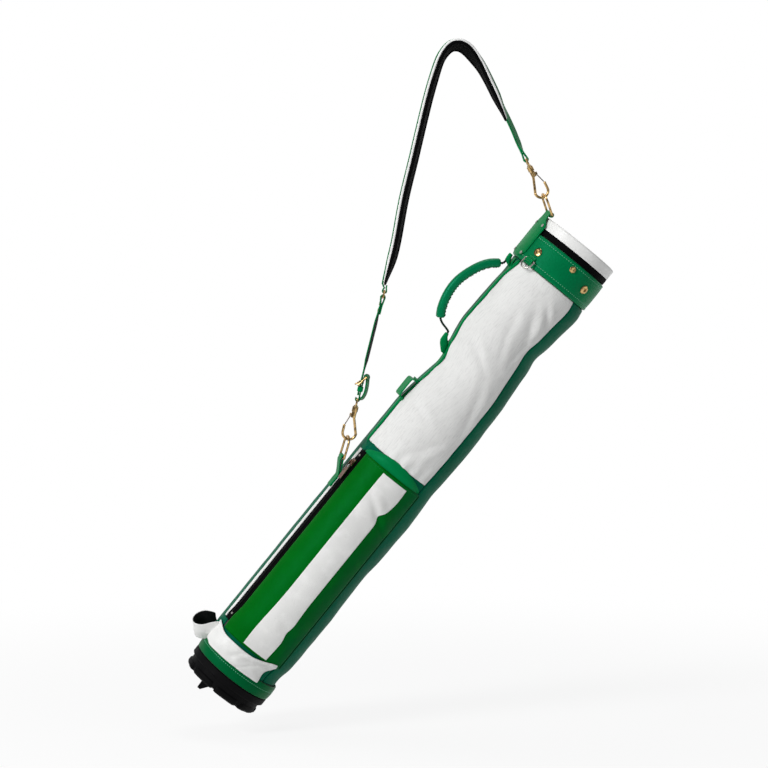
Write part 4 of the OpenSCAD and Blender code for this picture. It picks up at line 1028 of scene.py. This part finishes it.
GRAB_TALL = 36
patched("grab_strap_leather", WHITE_PU, "grab_strap", lambda u, v, off: grab_place(u, v / GRAB_TALL, off),
        GRAB,
        (0, GRAB_TALL), 1.3, edge=0.8, step=1.6)
rows = Mesh()
for v in (0.07, 0.93):
    places = [(u, v) for u in steps(GRAB[0] + 3, GRAB[1] - 2, 60)]
    stitch(rows, [grab_place(u, v, 1.32) for u, v in places], facing(grab_place, places, 4), 2.6, 4.0, 0.32)
rows.make("grab_strap_stitches", THREAD_WHITE, "bag", slot="white_leather")

# the loop that the strap makes at its left end, white outside and black inside
LOOP_AT = Vector((-379.0, 17.0, -864.5))
loop_e3 = Vector((-0.10, -0.56, 0.82)).normalized()
loop_e1 = Vector((1, 0, 0.06)).normalized()
loop_e1 = (loop_e1 - loop_e3 * loop_e1.dot(loop_e3)).normalized()
loop_e2 = loop_e3.cross(loop_e1)
start, start_side = grab_place(GRAB[0] + 5, 0.45,
                               0.2), (grab_place(GRAB[0] + 5, 0.8, 0) - grab_place(GRAB[0] + 5, 0.2,
                                       0)).normalized()
places, sides = [], []
for t in steps(0, 1, 56):
    a = radians(-48 - 262 * t)
    ring_at = LOOP_AT + loop_e1 * (17.6 * cos(a)) + loop_e2 * (15.5 * sin(a))
    k = smooth(t, 0.0, 0.16)
    p = start.lerp(ring_at, k).lerp(BAG @ around(69.0, -96, 72), smooth(t, 0.86, 1.0))
    places.append(p + Vector((0, 0, 0.5 * sin(9 * t))))
    sides.append(start_side.lerp(loop_e3, k).normalized())
outs = [t.cross(side).normalized() for t, side in zip(tangents_of(places), sides)]
if (places[28] - LOOP_AT).dot(outs[28]) < 0:
    outs = [-o for o in outs]
for name, mat, shift, width, thick, slot in (("leather", WHITE_PU, 0.65, 29, 1.2, "white_leather"),
                                             ("lining", LINING, -0.5, 28.2, 0.9, "black_fabric")):
    loop = Mesh()
    ribbon(loop, [p + o * shift for p, o in zip(places, outs)], outs, sides,
           lambda i: [(a + 0.5 * sin(b * 0.2 + i * 0.12), b * (1.0 + 0.12 * (1 - smooth(i, 0, 14))))
                      for a, b in ribbon_section(width, thick, 9)])
    loop.make("grab_loop_" + name, mat, "bag", slot=slot)

# ---------- the shoulder strap ----------
CROWN = [(73.5, -103.5), (66, -86), (53, -57.5), (38, -28), (27, -11.5), (17, 0.5), (8, 6.8), (0, 8.4),
         (-8, 6.8), (-16, 0),
         (-25, -14), (-34.5, -42)]
LEG = [(-43, -72), (-54, -117.1), (-64.5, -161.9), (-79, -222), (-90, -282.1), (-98, -315.1), (-108, -348.1)]
PAD_HALF, COVER_T, LINER_T, STRAP_W, STRAP_T = 25.0, 4.6, 4.4, 16.0, 2.4
world = Matrix.Identity(4)
pad_points, pad_outs = flat_frames(smooth_path(CROWN + LEG, 6), world)
pad_side = Vector((0, 1, 0))
pad_run = runs(pad_points)
pad_len = pad_run[-1]


def pad_width(s):
    ends = min(s, pad_len - s)
    return PAD_HALF * (0.32 + 0.68 * sin(pi / 2 * min(1, ends / 48)) ** 0.8)


def pad_taper(s):
    return 0.38 + 0.62 * smooth(min(s, pad_len - s), 0, 46)


def pad_twist(s):
    """How far the pad is turned about its run: its mesh face looks a little to the front."""
    return -radians(1.5 + 9.5 * bell(s - 122, 36) + 5 * smooth(s, 130, 220))


def turned(outs, angles):
    """The out and side directions of a strap turned about its run."""
    return ([o * cos(a) - pad_side * sin(a) for o, a in zip(outs, angles)],
            [pad_side * cos(a) + o * sin(a) for o, a in zip(outs, angles)])


turned_outs, turned_sides = turned(pad_outs, [pad_twist(s) for s in pad_run])


def pad_layer(mesh, face, base, thick, crown, quilt):
    """One padded layer. face is 1 for the outside and -1 for the inside."""
    us = steps(-1, 1, 26)
    top, under, uvs = [], [], []
    for i, p in enumerate(pad_points):
        s, half = pad_run[i], pad_width(pad_run[i])
        end = edge_lift(s, 0, pad_len, 3)
        row, low, row_uv = [], [], []
        for u in us:
            rim = edge_lift(u * half, -half, half, 3.2) * end
            puff = crown * (1 - u * u) + quilt * (abs(sin(pi * s / 26)) - 1) * smooth(1 - abs(u), 0.1, 0.4)
            wrinkle = 0.25 * waves((s, u * half), 0.09, face * 4.0)
            high = face * (base + (thick * pad_taper(s) + puff + wrinkle) * rim)
            row.append(p + turned_outs[i] * high + turned_sides[i] * (u * half))
            low.append(p + turned_outs[i] * (face * base) + turned_sides[i] * (u * half))
            row_uv.append((u * half, s))
        top.append(row)
        under.append(low)
        uvs.append(row_uv)
    mesh.grid(top, uvs, turn=face < 0)
    mesh.grid(under, uvs, turn=face > 0)


cover = Mesh()
pad_layer(cover, 1, 0.15, COVER_T - 0.9, 0.75, 0.0)
cover = cover.make("pad_cover_leather", WHITE_PU, "strap", node=("pad_cover",))
liner = Mesh()
pad_layer(liner, -1, 0.15, LINER_T - 1.2, 1.0, 0.7)
liner = liner.make("pad_liner_mesh", MESH, "strap", node=("pad_liner",))
rows = Mesh()
for side in (-1, 1):
    line, ups = [], []
    for i, p in enumerate(pad_points):
        if 6 < pad_run[i] < pad_len - 6:
            height = 0.2 + (COVER_T - 0.9) * pad_taper(pad_run[i])
            line.append(p + turned_outs[i] * height
                        + turned_sides[i] * (side * (pad_width(pad_run[i]) - 4.4)))
            ups.append(turned_outs[i])
    stitch(rows, line, ups, length=3.0, pitch=4.6, r=0.36, sink=0.25)
rows.make("pad_stitches", THREAD_WHITE, "strap", slot="white_leather")

# black tape bound round the pad's edge
around_pad = [(i, 1.0) for i in range(1, len(pad_points) - 1)] + [(len(pad_points) - 1, 0.9 - 0.3 * k)
        for k in range(7)]
around_pad += [(i, -1.0) for i in range(len(pad_points) - 2, 0, -1)] + [(0, -0.9 + 0.3 * k) for k in range(7)]
line = [pad_points[i] + turned_sides[i] * (u * (pad_width(pad_run[i]) - 0.8)) for i, u in around_pad]
rings = []
for k, (i, u) in enumerate(around_pad):
    along = (line[(k + 1) % len(line)] - line[k - 1]).normalized()
    o = turned_outs[i]
    n = along.cross(o).normalized()
    tall = (LINER_T / 2 + 0.3) * pad_taper(pad_run[i])
    middle = line[k] - o * (tall + 0.1)
    rings.append([middle + n * (1.5 * cos(t)) + o * (tall * sin(t)) for t in circle(14)])
tape = Mesh()
tape.tube(rings + rings[:1], caps=False)
tape.make("pad_edge_tape", WEBBING, "strap", slot="black_fabric")


def on_line(matrix, up, out):
    p = matrix @ Vector((out, 0, up))
    return (p.x, p.z)


def line(matrix, *places):
    return [on_line(matrix, up, out) for up, out in places]


def strap(mesh, lining, route2, angles=None, width=16.0, thick=2.2, rows=None, edge_in=2.6, skip=5):
    """A leather strap along a route in the XZ plane, dark on its inner face, stitched along both edges;
    angles turn it about its run."""
    points, strap_outs = flat_frames(route2, world)
    strap_outs, sides = turned(strap_outs, angles or [0.0] * len(points))
    last, skin = len(points) - 1, 0.6
    for one, t, shift, w in ((mesh, thick - skin, skin / 2, width),
                             (lining, skin, (skin - thick) / 2, width - 0.8)):
        ribbon(one, [p + o * shift for p, o in zip(points, strap_outs)], strap_outs, sides,
               lambda i: [(a, b * (0.86 + 0.14 * min(1, min(i, last - i) / 3))) for a,
                          b in ribbon_section(w, t)])
    if rows:
        for face in (-1, 1):
            for s in (-1, 1):
                line = [p + o * (face * thick / 2) + d * (s * (width / 2 - edge_in)) for p, o,
                        d in zip(points, strap_outs, sides)]
                stitch(rows, line[skip:-skip], [o * face for o in strap_outs][skip:-skip], length=2.7,
                       pitch=4.2, r=0.32)


def bar_turn(matrix, up, r, a0, a1, n=14, across=0.0):
    """Points round a bar at height up in a hook's frame, by angle from its outward side."""
    return [on_line(matrix, up + r * sin(radians(a0 + (a1 - a0) * k / n)),
                    across + r * cos(radians(a0 + (a1 - a0) * k / n))) for k in range(n + 1)]


HOOK_LEN, LINK_AT, LINK_HALF, BUCKLE_AT = 60.0, 222.0, 5.0, 95.0
HEEL = 4.8
LINK_TOP, LINK_FOOT = LINK_AT + LINK_HALF, LINK_AT - LINK_HALF


def lift(s):
    return COVER_T * pad_taper(s) + 0.3 + STRAP_T / 2


outer_pts = [(p.x + o.x * lift(s), p.z + o.z * lift(s)) for p, o,
             s in zip(pad_points, pad_outs, pad_run)][::2]
outer_turns = [pad_twist(s) for s in pad_run][::2]
strap_rows, strap_back = Mesh(), Mesh()
long_run = Mesh()
route = line(UPPER, (HOOK_LEN + 26, -1.35), (HOOK_LEN + 9, -1.5)) + bar_turn(UPPER, HOOK_LEN, BAR_WRAP, 168,
        372)
turns = [0.0] * len(route)
rise = line(UPPER, (HOOK_LEN + 9, 1.5), (HOOK_LEN + 26, 1.2), (HOOK_LEN + 46, 2.6))
rise = smooth_path(rise + [outer_pts[0]], 6)[:-1]
route += rise + outer_pts[:-1]
TOP_TURN, HOLES_TURN, BUCKLE_TURN = radians(27), radians(-12), radians(14)
turns += [TOP_TURN * smooth(k, 0, 7) for k in range(len(rise))]
turns += [a + (TOP_TURN - a) * (1 - smooth(k, 0, 5)) for k, a in enumerate(outer_turns[:-1])]
tail = smooth_path([outer_pts[-1], on_line(LOWER, LINK_TOP + 4.4, -1.6)], 2)
tail += bar_turn(LOWER, LINK_TOP, BAR_WRAP, 160, 382)
tail += line(LOWER, (LINK_TOP + 5, 1.4), (LINK_TOP + 9, 1.2))
route += tail
turns += [0.0] * len(tail)
strap(long_run, long_run, route, turns, rows=strap_rows)
long_run.make("long_strap_leather", LEATHER, "strap", node=("long_strap",))

hole_run = Mesh()
route = line(LOWER, (LINK_FOOT - 26, 1.3), (LINK_FOOT - 12, 1.5)) + bar_turn(LOWER, LINK_FOOT, BAR_WRAP, -12,
        192)
route += line(LOWER, (LINK_FOOT - 5, -2.2))
turns = [0.0] * len(route)
heights = (205, 197, 190, 182, 175, 160, 145, 130, 120, 112, 104, 96, 88, 82, 76, 71, 67, 66)
route += line(LOWER, *[(h, -1.2) for h in heights])
turns += [HOLES_TURN * smooth(h, 104, 122) * (1 - smooth(h, 176, 200)) for h in heights]
strap(hole_run, strap_back, route, turns, rows=strap_rows, thick=2.6)
piece = hole_run.make("hole_strap_leather", LEATHER, "strap", node=("hole_strap",))


def punch(piece, cutters):
    """Cuts round or long holes, given as closed forms in the hook's frame."""
    cut = Mesh()
    for z0, z1, r in cutters:
        rings = []
        for x in (-12, 12):
            ring = []
            for t in circle(20):
                ring.append(LOWER @ Vector((x, r * cos(t), (z1 if sin(t) > 0 else z0) + r * sin(t))))
            rings.append(ring)
        cut.tube(rings)
    knife = cut.make("punch_tool", THREAD, "strap")
    change = piece.modifiers.new("punch", "BOOLEAN")
    change.operation, change.object, change.solver = "DIFFERENCE", knife, "EXACT"
    graph = bpy.context.evaluated_depsgraph_get()
    piece.data = bpy.data.meshes.new_from_object(piece.evaluated_get(graph))
    piece.modifiers.clear()
    bpy.data.objects.remove(knife)


punch(piece, [(BUCKLE_AT - 11, BUCKLE_AT + 3, 1.7)]
      + [(BUCKLE_AT + 6 + 22 * k, BUCKLE_AT + 6.01 + 22 * k, 1.6) for k in (1, 2, 3)])
buckle_run = Mesh()
route = smooth_path(line(LOWER, (61, 3.6), (63, 6.8), (72, 9.2), (84, 8.9), (90, 7.9)), 3)
turns = [BUCKLE_TURN] * len(route)
route += bar_turn(LOWER, BUCKLE_AT, 2.9, -20, 200, across=HEEL)
route += line(LOWER, (88, 1.9), (82, 1.6), (76, 1.6), (70, 1.6), (66, 1.6)) + bar_turn(LOWER, HOOK_LEN, 2.9,
        40, -215)
turns += [BUCKLE_TURN * (1 - smooth(k, 0, 12)) for k in range(len(route) - len(turns))]
strap(buckle_run, strap_back, route, turns, rows=strap_rows, thick=2.3)
piece = buckle_run.make("buckle_strap_leather", LEATHER, "strap", node=("buckle_strap",))
punch(piece, [(BUCKLE_AT - 6, BUCKLE_AT + 8, 1.8)])
strap_rows.make("strap_stitches", THREAD, "strap", slot="green_leather")
strap_back.make("strap_backing", LINING, "strap", slot="black_fabric")

keeper = Mesh()
KEEPER_GAP = 0.3 + 0.7  # its clearance round the straps, and half its own thickness
x0, x1, y0 = -STRAP_T - KEEPER_GAP, 0.4 + STRAP_T + KEEPER_GAP, STRAP_W / 2 + KEEPER_GAP
corner, path, normals = 1.6, [], []
for cx, cy, a0 in ((x1 - corner, y0 - corner, 0), (x0 + corner, y0 - corner, 90),
                   (x0 + corner, -y0 + corner, 180), (x1 - corner, -y0 + corner, 270)):
    for k in range(5):
        t = radians(a0 + 22.5 * k)
        path.append(LOWER @ Vector((cx + corner * cos(t), cy + corner * sin(t), 75.5)))
        normals.append((LOWER.to_3x3() @ Vector((cos(t), sin(t), 0))).normalized())
up_line = (LOWER.to_3x3() @ Vector((0, 0, 1))).normalized()
rings = []
for p, o in zip(path + path[:1], normals + normals[:1]):
    rings.append([p + o * a + up_line * b for a, b in ribbon_section(7, 1.35)])
keeper.tube(rings, caps=False)
keeper.make("strap_keeper_leather", LEATHER, "strap", node=("strap_keepers",))

# ---------- the finishes of the rigid CAD nodes ----------
FINISHES = {
    GOLD: "upper_swivel lower_swivel upper_hook lower_hook upper_ring lower_ring link_ring buckle_frame "
          "buckle_prong large_snaps small_snaps strap_rivets",
    STEEL: "upper_gate lower_gate",
    SILVER: "spine_rivets zipper_stops base_screws accessory_ring",
    ROSE: "zip_slider zip_pull",
    CUFF: "mouth_cuff",
    LINING: "lining",
    STIFF: "body_tube base_disc",
    RUBBER: "base_flange base_boot base_fin",
}
for finish, names in FINISHES.items():
    for name in names.split():
        nodes[name].data.materials.clear()
        nodes[name].data.materials.append(finish)
        nodes[name].data.shade_smooth()
        nodes[name].data.set_sharp_from_angle(angle=radians(32))

# ---------- camera, light and backdrop ----------
AIM = Vector((-0.10875, 0.0, -0.498))
ELEVATION, DISTANCE = radians(3.4), 3.86
camera = bpy.data.cameras.new("camera")
camera.lens, camera.sensor_width = 120.6, 36.0
camera.clip_end = 60.0
eye = placed("camera", camera)
eye.location = AIM + Vector((0, -cos(ELEVATION), sin(ELEVATION))) * DISTANCE
eye.rotation_euler = (radians(90) - ELEVATION, 0, 0)
scene.camera = eye


def lamp(name, at, size, power):
    light = bpy.data.lights.new(name, "AREA")
    light.shape, light.energy = "RECTANGLE", power
    light.size, light.size_y = size
    holder = placed(name, light)
    holder.location = at
    holder.rotation_euler = (AIM - Vector(at)).to_track_quat("-Z", "Y").to_euler()


lamp("key", (-2.2, -2.0, 1.2), (1.0, 1.4), 84)
lamp("fill", (2.6, -2.4, 0.2), (1.4, 1.8), 7)
lamp("top", (0.2, 0.5, 2.4), (1.6, 1.2), 22)


def backdrop(tree, behind):
    """1 where a ray should meet the plain white backdrop: the camera's own rays, and in front of it
    what shiny or clear surfaces show."""
    ray = add(tree, "LightPath")
    shiny = add(tree, "Math", {"operation": "MAXIMUM"},
                (ray.outputs["Is Glossy Ray"], ray.outputs["Is Transmission Ray"])).outputs[0]
    if behind is not None:
        shiny = add(tree, "Math", {"operation": "MULTIPLY"}, (shiny, behind)).outputs[0]
    return add(tree, "Math", {"operation": "MAXIMUM"}, (ray.outputs["Is Camera Ray"], shiny)).outputs[0]


def mixed(tree, fac, first, second, output):
    mix = add(tree, "MixShader", None, (fac, first.outputs[0], second.outputs[0]))
    tree.links.new(mix.outputs[0], tree.nodes[output].inputs["Surface"])


FLOOR_Z = -1.03
floor_mesh = bpy.data.meshes.new("floor")
floor_mesh.from_pydata([(x, y, FLOOR_Z) for x, y in ((-14, -8), (14, -8), (14, 14), (-14, 14))], [],
                       [(0, 1, 2, 3)])
floor = placed("floor", floor_mesh)
PALE = bpy.data.materials.new("pale_floor")
PALE.use_nodes = True
tree = PALE.node_tree
diffuse = tree.nodes["Principled BSDF"]
diffuse.inputs["Base Color"].default_value = srgb(240, 240, 240)
diffuse.inputs["Roughness"].default_value = 0.9
diffuse.inputs["Specular IOR Level"].default_value = 0.1
glow = add(tree, "Emission", Color=(1, 1, 1, 1), Strength=1.0)
away = add(tree, "VectorMath", {"operation": "DISTANCE"},
           (add(tree, "NewGeometry").outputs["Position"], (AIM.x, 0, FLOOR_Z)))
far = add(tree, "MapRange", {"interpolation_type": "SMOOTHSTEP"}, (), Value=away.outputs["Value"],
          From_Min=0.4, From_Max=1.6,
          To_Min=0.86, To_Max=1.0).outputs[0]
share = add(tree, "Math", {"operation": "MULTIPLY"}, (backdrop(tree, None), far)).outputs[0]
mixed(tree, share, diffuse, glow, "Material Output")
floor_mesh.materials.append(PALE)

world_light = bpy.data.worlds.new("studio")
scene.world = world_light
world_light.use_nodes = True
tree = world_light.node_tree
soft = tree.nodes["Background"]
soft.inputs["Color"].default_value = (0.97, 0.98, 1.0, 1.0)
soft.inputs["Strength"].default_value = 0.24
white = add(tree, "Background", Color=(1, 1, 1, 1), Strength=1.0)
heading = add(tree, "SeparateXYZ", Vector=add(tree, "TexCoord").outputs["Generated"]).outputs[1]
behind = add(tree, "MapRange", {"interpolation_type": "SMOOTHSTEP"}, (), Value=heading, From_Min=0.1,
             From_Max=0.7,
             To_Min=0.0, To_Max=1.0).outputs[0]
mixed(tree, backdrop(tree, behind), soft, white, "World Output")

scene.view_settings.view_transform = "Standard"
